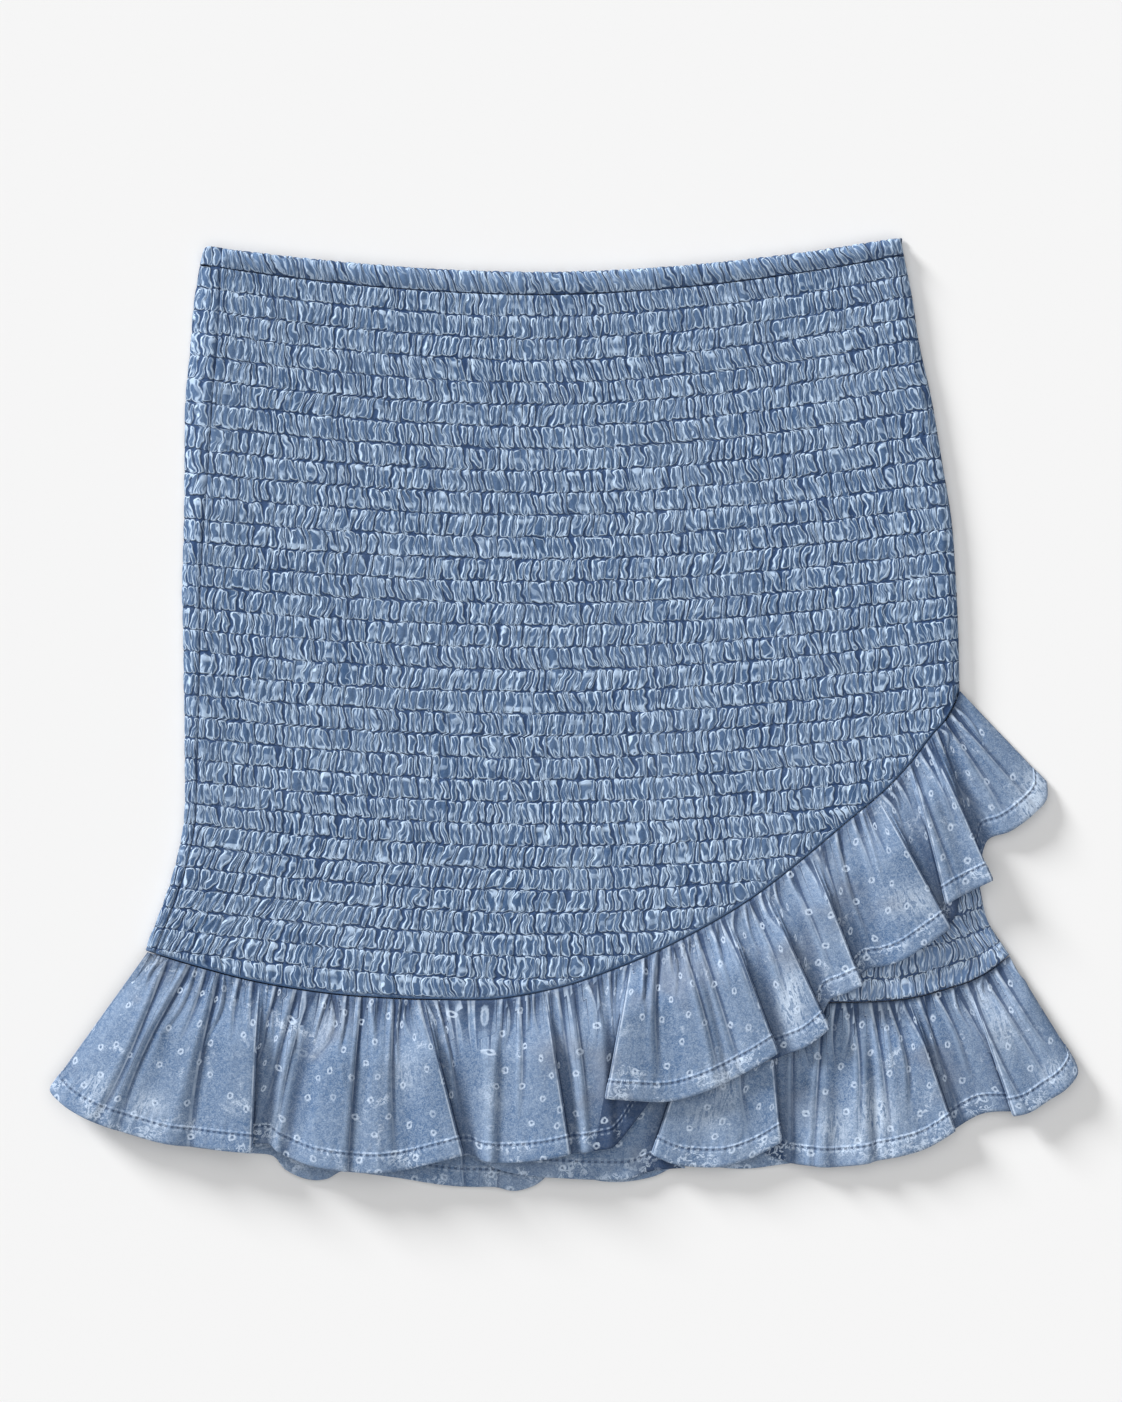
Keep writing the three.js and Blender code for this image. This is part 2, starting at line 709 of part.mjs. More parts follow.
const skirt = new THREE.Group()
skirt.name = 'ruffled_mini_skirt'
skirt.add(
  waistCasingFront(),
  backPiece('waist_casing_back', CASING_BLUE, [0, 0.5, 1], [0, 1]),
  frontWrapPanel(),
  frontUnderPanel(),
  backPiece('back_panel', BACK_BLUE, backLines, backPlainLines),
  foldedRuffle('wrap_ruffle', RUFFLE_BLUE, WRAP_WAVES, wrapSeam, wrapRoot),
  foldedRuffle('under_ruffle', UNDER_BLUE, UNDER_WAVES, hipSeam, () => UNDER_ROOT),
  backRuffle(),
)

export default skirt
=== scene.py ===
import math

import bpy
import numpy as np
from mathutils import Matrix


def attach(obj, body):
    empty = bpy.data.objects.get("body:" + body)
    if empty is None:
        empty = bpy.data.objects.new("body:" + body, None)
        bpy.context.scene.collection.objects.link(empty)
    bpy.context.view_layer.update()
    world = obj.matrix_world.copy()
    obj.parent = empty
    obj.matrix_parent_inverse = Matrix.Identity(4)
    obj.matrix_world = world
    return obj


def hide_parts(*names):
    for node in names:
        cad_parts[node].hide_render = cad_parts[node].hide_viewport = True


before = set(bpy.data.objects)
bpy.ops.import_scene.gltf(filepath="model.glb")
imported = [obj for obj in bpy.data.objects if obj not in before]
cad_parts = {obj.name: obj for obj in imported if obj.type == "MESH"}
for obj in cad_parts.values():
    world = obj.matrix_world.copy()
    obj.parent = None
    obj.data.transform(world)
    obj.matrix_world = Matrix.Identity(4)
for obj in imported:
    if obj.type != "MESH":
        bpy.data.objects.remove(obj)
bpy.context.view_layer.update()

# A ruffled mini skirt in shirred, mineral washed cotton, laid flat with its front up.
# Sizes are in millimetres until place() puts a piece into the frame, which is in metres.
# X runs across the skirt, Y towards the waist and Z up from the surface.

MM = 0.001

# Camera and light
PHOTO_HEIGHT = 589.0
PHOTO_MIDDLE = (-1.3, 6.3)
LENS = 100.0
SENSOR = 36.0
FACE_HEIGHT = 6.0
SUN_BEARING = 137.0
SUN_RISE = 17.5
SUN_SIZE = 16.0
SUN_POWER = 4.1
TOP_POWER = 1.5
TOP_SIZE = 90.0
SKY_POWER = 0.2
FLOOR_GAP = 0.3

# Walls and heights above the surface
SEAM_GAP = 0.3
PANEL_WALL = 1.2
RUFFLE_WALL = 0.6
UNDER_FLOOR = 2.1
WRAP_FLOOR = 4.2
LINE_TOP = 5.3
CASING_TOP = 6.9
PUFF = 0.64
SIDE_TURN = 6.0
SIDE_WALL = 1.4
CORNER_RADIUS = 3.4
BEND_RADIUS = 3.0
BEND_INSET = 3.4
UNDER_INSET = 5.0
UNDER_SIDE_INSET = 7.2
UNDER_SIDE_SHOWN = -62.0
UNDER_SHOWN_FROM = 106.0
UNDER_FIRST_LINE = 25

# Shirring lines: line 0 is the waist edge and line 1 holds the casing
CASING_DEPTH = 9.5
ROW_PITCH = 9.28
WAIST_MIDDLE = 186.7
RISE_MIDDLE = -10.0
RISE_HALF_WIDTH = 151.0
RISE_POWER = 1.8
SEAM_STRIP = 0.9
LAST_LINE = 33

# One gathered puff: places across it, and places down a row from one thread to the next
ACROSS_PUFF = (0.0, 0.2, 0.5, 0.8)
ACROSS_HIDDEN = (0.0, 0.5)
DOWN_ROW = (0.0, 0.08, 0.27, 0.5, 0.73, 0.92)
DOWN_RISE = (0.35, 0.76, 0.97, 1.0, 0.96, 0.74)
PUFF_WIDTH = 2.93
PUFF_CORNER = 1.1
WIDE_CREASE = 0.58

# Ruffles: where down them, as a share, they have risen and laps begin, then sizes
RISEN_AT = 0.4
LAP_FROM = 0.35
LAYER = 1.4
TURN_STEP = 0.6
CAD_RUFFLE_WALL = 1.1
WRAP_ROOT = 5.3
UNDER_ROOT = 3.0
HEM_DEPTH = 8.4
HEM_ROWS = (12, 10.8, 9.8, 9.2, 8.8, 8.5, 8.2, 7.8, 7.2, 6.2, 5, 3.8, 2.6, 1.6, 0.8, 0.3, 0)
FALL_ROWS = 34
STITCH = 2.7
STITCH_INSET = 0.9
RINGS_PER_METRE = 84
HEM_RISE = 0.42
SWELLS = 26

# Fold lines: the distance that stands for none, in mm, and how many points a lap's edge reaches
NO_FOLD = 9.0
LAP_REACH = 80

# Small gathers under a ruffle's seam, between those of the tables: least and most of each
GATHER_STEP = (8.0, 15.0)
GATHER_WIDTH = (0.6, 0.95)
GATHER_HEIGHT = (0.5, 1.0)
GATHER_ENDS = (0.14, 0.4)
GATHER_CLEAR = (0.6, 1.0)


def table(columns, rows):
    names = columns.split()
    return [dict(zip(names, list(row) + [0] * (len(names) - len(row)))) for row in rows]


# Outline of the body, left and right edge and left side seam at each height
BODY = table("y left right seam", [
    (198, -152, 142.5, -143.5), (175, -155.8, 147, -144.8), (158, -157.2, 149.5, -145.6),
    (133, -159.6, 155, -147.8), (108, -160, 159.2, -149.3), (82, -160, 163.4, -151.3),
    (57, -160.8, 165.2, -152.8), (32, -160.4, 166.3, -153), (7, -160, 166.8, -153.4),
    (-18, -159.7, 168.4, -154), (-43, -160, 171.4, -154.8), (-60, -163, 173, -158),
    (-73, -166.7, 175.2, -161.9), (-86, -171.4, 178.2, -166.6), (-94, -174.7, 183, -170),
    (-101, -177, 187.8, -172.2),
])

# Left end of both lower seams
SEAM_START = [(-177, -98.3), (-153, -105.6), (-128, -111.9), (-98, -116.6)]

# Lower seam of the wrapped front, which climbs to the right side
WRAP_SEAM = table("x y", SEAM_START + [
    (-69, -118.7), (-48, -119.1), (-27, -118.7), (-2, -114), (15, -108.6), (36, -100.2),
    (57, -89.7), (78, -77.1), (99, -61.1), (120, -43.5), (135, -30.9),
    (146, -19.1), (155, -7.4), (161.7, 0.2), (165.1, 7.4), (166.6, 11.5),
])

# Lower seam of the under front and of the back
HIP_SEAM = table("x y", SEAM_START + [
    (-69, -118.9), (-30, -120.4), (40, -121), (115, -120.4), (136, -119.8), (148, -118.2),
    (160, -115), (171, -111.4), (179, -107.2), (187.8, -100.2),
])

# How far each shirring line rises from the middle to the sides
RISES = table("line left right", [
    (0, 12.5, 14.5), (1, 14, 16.5), (6, 12, 16.5), (12, 8, 10.5), (20, 8.5, 10), (33, 11.5, 10),
])

# Ruffles: each row runs from its root on the seam to its point on the hem. rest is the height of
# what the hem lies on, wave its rise as a share of a full wave, and lap how far the cloth doubles
# back: above zero the right edge lies on top, below zero the left edge does.
WRAP_WAVES = table("root x y rest wave lap", [
    (-173.5, -203.5, -152, 5.6, 0.05), (-175, -216, -156.5, 3.6, 0.4),
    (-172, -211, -162.5, 5.2, 0.7), (-165.5, -198.5, -169.5, 7, 0.95),
    (-154.5, -181, -175.5, 7.8, 0.6), (-147, -167.5, -179, 7.8, 0.9),
    (-142.8, -156, -180.5, 7.8, 0.6), (-134.8, -142.5, -182, 7.8, 1),
    (-126.8, -131, -183, 7.8, 1, 12.5), (-118, -124.5, -179.5, 7.8, 0.05),
    (-111, -120.5, -182.5, 7.8, 0.3), (-101.6, -117, -184.5, 7.8, 0.05),
    (-95, -106, -188.5, 7.8, 0.7), (-88, -93.5, -190.5, 7.8, 0.9), (-85, -90, -191, 7.8, 0.55),
    (-77, -78, -191.5, 7.8, 0.8), (-69.7, -65.5, -190, 7.8, 0.45), (-63.8, -52, -186.5, 7.8, 1),
    (-58, -42.5, -184, 7.8, 1, 14), (-50, -38.5, -184.2, 7.8, 0.05),
    (-39.5, -34.5, -186.5, 7.8, 0.3), (-28.5, -31, -187, 7.8, 0.65),
    (-25.6, -27.5, -187.5, 7.8, 0.3), (-17.6, -18.5, -187, 7.8, 0.6), (-11.8, -6.5, -185.5, 7.8, 1),
    (-7.1, 2.5, -183.5, 7.8, 1, 8.5), (-3.4, 5, -183.3, 7.8, 0.05), (0.8, 9, -183, 7.8, 0.55),
    (6.7, 14.5, -182, 7.8, 0.35), (13.4, 20, -181, 7.8, 0.42), (16.8, 24, -177.5, 7.8, 0),
    (26.9, 17.5, -160.2, 7.8, 1.1, -18.5), (32.8, 28.5, -161, 7.8, 1.1),
    (41.2, 43.5, -161.5, 7.8, 0.7), (47, 57, -158, 7.8, 1), (52.1, 66.5, -154, 7.8, 1),
    (55, 69.5, -152.7, 7.8, 0.65), (63, 81, -146.5, 7.8, 1), (68.9, 89.5, -141.2, 7.8, 1, 10),
    (74.8, 93, -142, 7.8, 0.05), (79.8, 102.5, -138, 7.8, 0.6), (84.8, 111, -131, 7.6, 0.95, 7.5),
    (91.1, 111.5, -119.5, 7.2, 0.05), (97.9, 119, -116, 7, 0.6), (104.2, 125, -113, 7, 0.95, 6),
    (112.6, 127, -106.5, 6.4, 0.05), (119.3, 135, -105, 6.2, 0.15), (124.3, 142.5, -102.2, 6, 0.7),
    (128.5, 152, -96, 6, 1), (132.7, 162, -89, 5.8, 1, 6), (137.8, 164.2, -84.2, 5.6, 0),
    (144.5, 160.5, -79, 5.6, 1, -6.5), (147.4, 165.5, -76, 5.6, 1), (150.4, 171.5, -73, 5.6, 0.75),
    (154.6, 179.5, -69, 5.6, 1, 5.5), (158.2, 178, -52.5, 3, 0.05), (160.4, 187.5, -48.5, 2, 0.65),
    (163, 196.5, -42, 1.2, 0.9), (165.2, 203, -35, 0.8, 0.6), (166.3, 203.5, -28, 0.6, 0.1),
])

UNDER_WAVES = table("root x y rest wave lap", [
    (-167.5, -196, -150.5, 3, 0.1), (-161, -188, -163.5, 3, 0.5), (-146.5, -169.5, -171.5, 3, 0.15),
    (-130, -146.5, -176, 3, 0.7), (-111, -123.5, -178.5, 3, 0.2), (-92, -98.5, -181, 3, 0.7),
    (-73, -75, -182, 3, 0.2), (-56, -56, -182, 3, 0.6), (-41.5, -41, -184.5, 3, 0.3),
    (-29, -27.5, -190.5, 3, 0.7), (-16.5, -16, -193.3, 3, 0.3), (-1.5, -1.5, -194.2, 3, 0.6),
    (15, 14, -195, 3, 0.3), (32, 27, -194.7, 3, 0.35), (43.5, 36.5, -191.5, 3, 0.1),
    (57, 37, -184.2, 3, 1, -14.5), (62, 45.5, -188, 3, 1), (69, 56.5, -189.5, 3, 0.8),
    (75, 66.5, -189.2, 3, 1), (80.5, 79, -185.5, 3, 0.9), (86.5, 91, -179, 3, 1, 9),
    (95, 95, -188, 3, 0.05), (105.5, 102.5, -189, 3, 0.4), (111.5, 108.5, -189.6, 3, 0.75),
    (116, 114, -189.6, 3, 0.4), (125, 127.5, -188, 3, 1), (128, 131, -187, 3, 0.6),
    (135, 141, -185, 3, 0.95), (141, 152.5, -181.5, 3, 0.8), (146, 164, -174.5, 3, 1, 7.5),
    (151.5, 167, -172, 3, 0.05), (160, 177, -167, 3, 0.1), (169, 189, -168, 3, 1, -6),
    (174, 195.5, -166.5, 3, 1), (179, 203.5, -161.5, 3, 0.8), (183, 211, -156.5, 2.8, 1),
    (186, 216, -150, 2.4, 0.6), (187.2, 215, -145.5, 2.2, 0.1),
])

BACK_WAVES = table("root x y rest wave", [
    (-170, -198, -151, 0, 0.1), (-160, -186, -167, 0, 0.6), (-148, -166, -176, 0, 0.3),
    (-136, -147, -180.8, 0, 0.8), (-124, -133, -184, 0, 0.4), (-115, -122.5, -185.5, 0, 0.2),
    (-109, -117.5, -191, 0, 0.6), (-99, -107.5, -195.2, 0, 1), (-91, -100, -195, 0, 0.9),
    (-84, -93.5, -191.8, 0, 0.2), (-72, -81.5, -193, 0, 0.8), (-61, -69.5, -194.7, 0, 0.4),
    (-45, -51, -197.5, 0, 0.9), (-36, -39.5, -198.4, 0, 0.5), (-27, -29, -198.4, 0, 1),
    (-20, -21, -200.1, 0, 0.6), (-11, -12, -197.5, 0, 0.9), (-5, -6.5, -193.8, 0, 0.2),
    (6, 4.5, -193, 0, 0.5), (17, 15, -195.8, 0, 0.8), (28, 26, -196.2, 0, 0.4),
    (40, 38, -193.8, 0, 0.8), (50, 48.5, -189.3, 0, 0.2), (60, 59.5, -189.6, 0, 0.6),
    (70, 70, -190.5, 0, 0.9), (80, 79, -190.6, 0, 0.4), (90, 90.5, -189, 0, 0.8),
    (108, 111.5, -186.3, 0, 0.3), (126, 132.5, -182.5, 0, 0.8), (145, 153.5, -176, 0, 0.3),
    (162, 172.5, -163.5, 0, 0.7), (173, 189, -159, 0, 0.3), (181, 203, -153.5, 0, 0.6),
    (185.5, 209, -144.5, 0, 0.2),
])

# Creases of the ruffles: where along the seam, how far down they end as a share of the ruffle's
# depth, how far they drift along the hem, half width and height, below zero a trough
WRAP_CREASES = table("at ends drift width height", [
    (-166, 1.3, 0, 1.5, -1.0), (-156.7, 1.2, 0, 1.7, -1.3), (-150, 0.37, -2, 1.3, -0.9),
    (-144.5, 1.2, 3, 1.5, -1.2), (-136, 0.31, 1, 1.2, -0.9), (-130.5, 0.28, 3, 1.0, -0.9),
    (-120, 0.65, -6, 1.2, -1.0), (-112, 0.84, -16, 1.5, -1.3), (-105.8, 0.84, -14, 1.4, -1.2),
    (-98, 0.37, -4, 1.1, -0.9), (-91, 0.31, 0, 1.0, -0.9), (-84.8, 1.4, 0, 1.0, -1.3),
    (-78, 0.28, 0, 1.1, -0.9), (-71, 0.8, -3, 1.1, -1.1), (-66, 0.22, 2, 1.0, -0.8),
    (-60, 0.37, 4, 1.1, -1.0), (-53, 0.65, 5, 1.0, -1.1), (-48.5, 0.37, 3, 0.9, -1.1),
    (-43, 0.31, 0, 0.8, -1.0), (-37, 0.31, -3, 0.9, -1.0), (-31, 0.37, -2, 1.1, -0.9),
    (-24, 0.28, 0, 1.0, -0.8), (-18, 0.65, 2, 1.1, -1.0), (-12, 0.22, 3, 1.0, -0.8),
    (-2, 0.65, 2, 1.0, -1.0), (3.5, 0.84, 1, 1.0, -1.1), (10, 0.37, 3, 1.0, -0.9),
    (20, 0.37, 1, 1.2, -1.0), (27, 0.25, -3, 1.0, -1.0), (34, 0.31, 0, 1.0, -1.0),
    (40, 0.75, -1, 1.5, -1.7), (45, 0.22, 5, 1.0, -0.9), (50, 1.1, 3, 1.3, -1.2),
    (56, 1.1, 5, 1.3, -1.2), (62, 0.25, 6, 1.0, -0.8), (66, 0.65, 3, 1.0, -1.0),
    (72, 0.31, 5, 0.9, -1.0), (78, 0.65, 3, 1.0, -1.1), (83, 0.28, 6, 0.9, -0.9),
    (89, 0.31, 5, 0.9, -1.0), (95, 0.75, 3, 1.0, -1.1), (101, 0.31, 6, 0.9, -0.9),
    (108, 0.65, 3, 0.9, -1.0), (115, 0.75, 4, 1.1, -1.1), (122, 0.37, 6, 1.0, -1.0),
    (127, 0.31, 5, 0.9, -0.9), (134, 0.31, 5, 0.9, -1.0), (140, 0.31, 6, 0.9, -0.9),
    (146, 1, 6, 1.1, -1.3), (150, 0.55, 9, 0.9, -0.9), (153.5, 0.95, 3, 0.9, -1.2),
    (157, 0.8, 8, 1.0, -1.2), (160.5, 0.9, 2, 1.0, -1.2), (163, 1, 4, 0.9, -0.9),
])
UNDER_CREASES = table("at ends drift width height", [
    (70, 0.37, 2, 1.1, -1.0), (78, 0.75, 3, 1.1, -1.0), (90, 0.65, 2, 1.0, -1.0),
    (97, 1, 0, 1.2, -1.2), (104, 0.37, 0, 1.0, -1.0), (109, 1.1, -2, 1.2, -1.2),
    (115, 0.37, 1, 1.0, -1.0), (122, 0.75, 2, 1.1, -1.1), (130, 1, 4, 1.2, -1.2),
    (137, 0.65, 6, 1.0, -1.0), (143, 0.84, 6, 1.1, -1.1), (150, 1.1, 5, 1.3, -1.3),
    (157, 0.65, 8, 1.0, -1.0), (164, 0.75, 7, 1.0, -1.0), (170, 1.1, 8, 1.2, -1.2),
    (177, 0.84, 9, 1.0, -1.0), (182, 0.65, 6, 1.0, -0.9),
])
BACK_CREASES = table("at ends drift width height", [
    (-128, 0.9, -6, 1.6, -0.6), (-96, 0.9, -4, 1.4, -0.6), (-60, 0.9, -2, 1.6, -0.6),
    (-36, 1.2, 0, 1.5, -0.7), (-26, 1.2, 0, 1.5, -0.7), (30, 0.9, 0, 1.6, -0.5),
])

# Places rubbed pale on the ruffles
RUBBED = table("x y wide tall much", [
    (197, -36, 7, 13, 0.9), (95, -119, 6, 15, 0.9), (147, -78, 12, 7, 0.6), (131, -167, 9, 11, 0.8),
    (114, -174, 8, 9, 0.6), (-175, -163, 9, 5, 0.6), (-196, -155, 8, 6, 0.6), (175, -119, 6, 9, 0.6),
    (60, -168, 9, 6, 0.5), (-120, -175, 5, 8, 0.4), (-66, -150, 7, 9, 0.4), (206, -150, 7, 6, 0.7),
    (66, -155, 8, 12, 0.5), (183, -130, 7, 10, 0.6), (-100, -130, 5, 9, 0.5), (-30, -160, 5, 9, 0.4),
])


def smooth(t):
    s = np.clip(t, 0, 1)
    return s * s * (3 - 2 * s)


def through(rows, start, end):
    """A smooth curve through a table's rows, from one named column to another."""
    order = sorted(rows, key=lambda row: row[start])
    a = np.array([row[start] for row in order], float)
    b = np.array([row[end] for row in order], float)
    before = np.r_[0, np.arange(len(a) - 1)]
    after = np.r_[np.arange(1, len(a)), len(a) - 1]
    slope = (b[after] - b[before]) / (a[after] - a[before])

    def curve(value):
        v = np.clip(value, a[0], a[-1])
        i = np.clip(np.searchsorted(a, v) - 1, 0, len(a) - 2)
        width = a[i + 1] - a[i]
        t = (v - a[i]) / width
        bend = slope[i] * (t - 2 * t**2 + t**3) + slope[i + 1] * (t**3 - t**2)
        return b[i] + (b[i + 1] - b[i]) * smooth(t) + bend * width

    return curve


left_edge = through(BODY, "y", "left")
right_edge = through(BODY, "y", "right")
side_seam = through(BODY, "y", "seam")
wrap_seam = through(WRAP_SEAM, "x", "y")
hip_seam = through(HIP_SEAM, "x", "y")
rise_left = through(RISES, "line", "left")
rise_right = through(RISES, "line", "right")


def line_at(line, x):
    """Height on the skirt of a shirring line, or part of a line, at one place across."""
    down = np.where(line < 1, line * CASING_DEPTH, CASING_DEPTH + (line - 1) * ROW_PITCH)
    u = (x - RISE_MIDDLE) / RISE_HALF_WIDTH
    rise = np.where(u < 0, rise_left(line), rise_right(line))
    return WAIST_MIDDLE - down + rise * np.abs(u) ** RISE_POWER


def on_line(line, across, lowest=None, level=line_at, past=None):
    """Places on shirring lines, found by steps. across gives x for y. Nothing falls below the
    lowest curve, and points known to be past it are put on it."""
    x = across(level(line, 0 * line))
    for _ in range(8):
        x = across(level(line, x))
    y = level(line, x)
    if lowest is None:
        return x, y, np.zeros_like(y, bool)
    cut = y < lowest(x) + 0.5 if past is None else past
    low = x
    for _ in range(12):
        low = across(lowest(low))
    return np.where(cut, low, x), np.where(cut, lowest(low), y), cut


# Meshes

def grid(name, columns, rows):
    """A flat grid of columns by rows of points, with each point's column and row."""
    bpy.ops.object.select_all(action="DESELECT")
    bpy.ops.mesh.primitive_grid_add(x_subdivisions=columns - 1, y_subdivisions=rows - 1, size=1)
    piece = bpy.context.object
    piece.name = name
    piece.data.name = name
    co = np.empty(len(piece.data.vertices) * 3)
    piece.data.vertices.foreach_get("co", co)
    co = co.reshape(-1, 3)
    i = np.rint((co[:, 0] + 0.5) * (columns - 1)).astype(int)
    j = np.rint((0.5 - co[:, 1]) * (rows - 1)).astype(int)
    return piece, i, j


def place(piece, points):
    piece.data.vertices.foreach_set("co", (np.asarray(points) * MM).ravel())
    piece.data.update()


def paint(piece, name, values):
    layer = piece.data.attributes.new(name, "FLOAT", "POINT")
    layer.data.foreach_set("value", np.asarray(values, np.float32))


def lay_out(piece, u, v):
    """The piece's UV map, in metres of flat cloth."""
    layer = piece.data.uv_layers[0]
    corner = np.empty(len(piece.data.loops), int)
    piece.data.loops.foreach_get("vertex_index", corner)
    uv = np.stack([u[corner], v[corner]], 1) * MM
    layer.data.foreach_set("uv", uv.ravel())


def edit(piece):
    bpy.ops.object.select_all(action="DESELECT")
    bpy.context.view_layer.objects.active = piece
    piece.select_set(True)
    bpy.ops.object.mode_set(mode="EDIT")
    bpy.ops.mesh.select_all(action="SELECT")


def finish_edit():
    bpy.ops.object.mode_set(mode="OBJECT")


def weld(piece):
    edit(piece)
    bpy.ops.mesh.remove_doubles(threshold=2e-6)
    bpy.ops.mesh.dissolve_degenerate(threshold=1e-6)
    bpy.ops.mesh.delete_loose()
    finish_edit()


def face_out(piece):
    """Turns a mesh's faces to one side, outwards where it is closed."""
    edit(piece)
    bpy.ops.mesh.normals_make_consistent(inside=False)
    finish_edit()


def line_panel(piece, height):
    """Closes a panel: its rim is drawn down to its inner face, which stays plain. height gives the
    inner face's place from the rim's."""
    edit(piece)
    bpy.ops.mesh.region_to_loop()
    bpy.ops.mesh.extrude_edges_indiv()
    finish_edit()
    rim = [v.index for v in piece.data.vertices if v.select]
    for n in rim:
        piece.data.vertices[n].co = height(piece.data.vertices[n].co)
    edit(piece)
    bpy.ops.mesh.select_all(action="DESELECT")
    bpy.ops.mesh.select_mode(type="EDGE")
    finish_edit()
    on_rim = set(rim)
    for edge in piece.data.edges:
        edge.select = edge.vertices[0] in on_rim and edge.vertices[1] in on_rim
    bpy.context.view_layer.objects.active = piece
    bpy.ops.object.mode_set(mode="EDIT")
    bpy.ops.mesh.edge_face_add()
    bpy.ops.mesh.select_mode(type="VERT")
    finish_edit()
    face_out(piece)


def face_up(piece, points):
    """Turns an open sheet's faces so that the named points, which lie on top, face up."""
    face_out(piece)
    if sum(piece.data.vertices[n].normal.z for n in points) < 0:
        edit(piece)
        bpy.ops.mesh.flip_normals()
        finish_edit()


def thicken(piece, wall):
    wall_maker = piece.modifiers.new("wall", "SOLIDIFY")
    wall_maker.thickness = wall * MM
    wall_maker.offset = -1
    wall_maker.use_rim = True
    bpy.context.view_layer.objects.active = piece
    bpy.ops.object.modifier_apply(modifier=wall_maker.name)


def dress(piece, material, node):
    piece.data.materials.clear()
    piece.data.materials.append(material)
    for polygon in piece.data.polygons:
        polygon.use_smooth = True
    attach(piece, "root")
    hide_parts(node)


# Shirring

class Gathers:
    """Irregular puffs along every row of a shirred panel. Threads pinch the cloth at each line, and
    the puffs of one row don't meet those of the next. Hidden cells have fewer points."""

    def __init__(self, seed, cells, rows, shown=None):
        chance = np.random.default_rng(seed)
        shown = cells if shown is None else shown
        spots = [(cell, place) for cell in range(cells)
                 for place in (ACROSS_PUFF if cell < shown else ACROSS_HIDDEN)]
        spots.append((cells - 1, 1.0))
        self.cell, self.within = (np.array(part) for part in zip(*spots))
        self.cells = cells
        knots = np.arange(cells + 1)
        ease = np.minimum(1, np.minimum(knots / 1.4, (cells - knots) / 2.5))
        shift = chance.uniform(-0.5, 0.5, (rows + 2, 1))
        jitter = chance.uniform(-0.32, 0.32, (rows + 2, cells + 1))
        self.bounds = (knots + (shift + jitter) * ease) / cells
        drift = np.cumsum(chance.normal(0, 0.16, (rows + 2, cells + 1)), 1)
        drift -= np.linspace(0, 1, cells + 1) * drift[:, -1:]
        lean = 0.5 * np.sin(drift * 1.3 + chance.uniform(0, 6, (rows + 2, 1)))
        self.lean = (lean + chance.normal(0, 0.14, (rows + 2, cells + 1))) * ease / cells
        self.full = chance.uniform(0.75, 1.1, (rows + 2, cells + 1))

    def columns(self):
        return len(self.cell)

    def count(self, column):
        """The number of puffs before a column, and the part of one it has crossed."""
        return self.cell[column] + self.within[column]

    def at(self, column, row, part):
        """Share of the way across for points of one column, in a row, part of the way down it."""
        cell, within = self.cell[column], self.within[column]

        def edge(r, k, p):
            return self.bounds[r, k] + self.lean[r, k] * (p - 0.5)

        above = np.maximum(row - 1, 0)
        near = edge(row, cell, part) * (1 - within) + edge(row, cell + 1, part) * within
        last = edge(above, cell, 1) * (1 - within) + edge(above, cell + 1, 1) * within
        return np.where(part == 0, (near + last) / 2, near)

    def rise(self, column, row, part_index):
        """Rise of the cloth at points of the panel, as a share of a full puff."""
        across = 1 - 0.8 * np.abs(2 * self.within[column] - 1) ** 3.5
        full = self.full[row, self.cell[column]]
        puffed = across * np.take(DOWN_RISE, part_index) * full
        return np.where(part_index == 0, 0.4 * across - 0.02, puffed)


def row_steps(first, last):
    """Every step down the rows between two lines: its row, the place in it, and its line."""
    steps = []
    for row in range(first, last):
        for k, part in enumerate(DOWN_ROW):
            steps.append((row, k, part))
    steps.append((last, 0, 0.0))
    row, k, part = (np.array(x) for x in zip(*steps))
    return row, k, part, row + part


def settle(i, j, share, cut):
    """Brings the cut ends of each column together on the seam, in their order across the panel.
    Everything past a column's first cut point is cut too."""
    order = np.empty((j.max() + 1, i.max() + 1), int)
    order[j, i] = np.arange(len(i))
    past = np.logical_or.accumulate(cut[order], axis=0)
    ends = share[order][past.argmax(0), np.arange(order.shape[1])]
    ends = np.maximum.accumulate(np.where(past.any(0), ends, -1))
    share[order] = np.where(past, ends, share[order])
    settled = np.empty(len(i), bool)
    settled[order] = past
    return settled


def wrap_lowest(x):
    slope = (wrap_seam(x + 1) - wrap_seam(x - 1)) / 2
    return wrap_seam(x) + SEAM_STRIP * np.minimum(np.sqrt(1 + slope**2), 2.2)


def side_round(x, right, top, bottom):
    """Rounds a face down over the right side: share of the way out, and height."""
    out = np.clip((x - (right - SIDE_TURN)) / SIDE_TURN, 0, 1)
    return out, bottom + (top - bottom) * np.sqrt(np.clip(1 - out**2, 0, 1))


def inner_face(co):
    """The inner face of the wrapped front and its casing, which comes down at the right side."""
    at_side = (right_edge(co.y / MM) - co.x / MM) < SIDE_TURN * 0.6
    if at_side:
        return co.x - SIDE_WALL * MM, co.y, UNDER_FLOOR * MM
    return co.x, co.y, WRAP_FLOOR * MM


def mark(piece, across, down, plain, deep):
    """Gives the cloth its puff and row numbers, where it is plain, and where painted shade darkens it
    at a seam.
    """
    lay_out(piece, across / MM, down / MM)
    paint(piece, "plain", np.clip(plain, 0, 1))
    paint(piece, "deep", np.clip(deep, 0, 1))


def front_across(share):
    """Places between the left side seam and the right edge, at each height. It keeps hold of the
    shares, which settle() may still change."""
    return lambda y: side_seam(y) + (right_edge(y) - side_seam(y)) * share


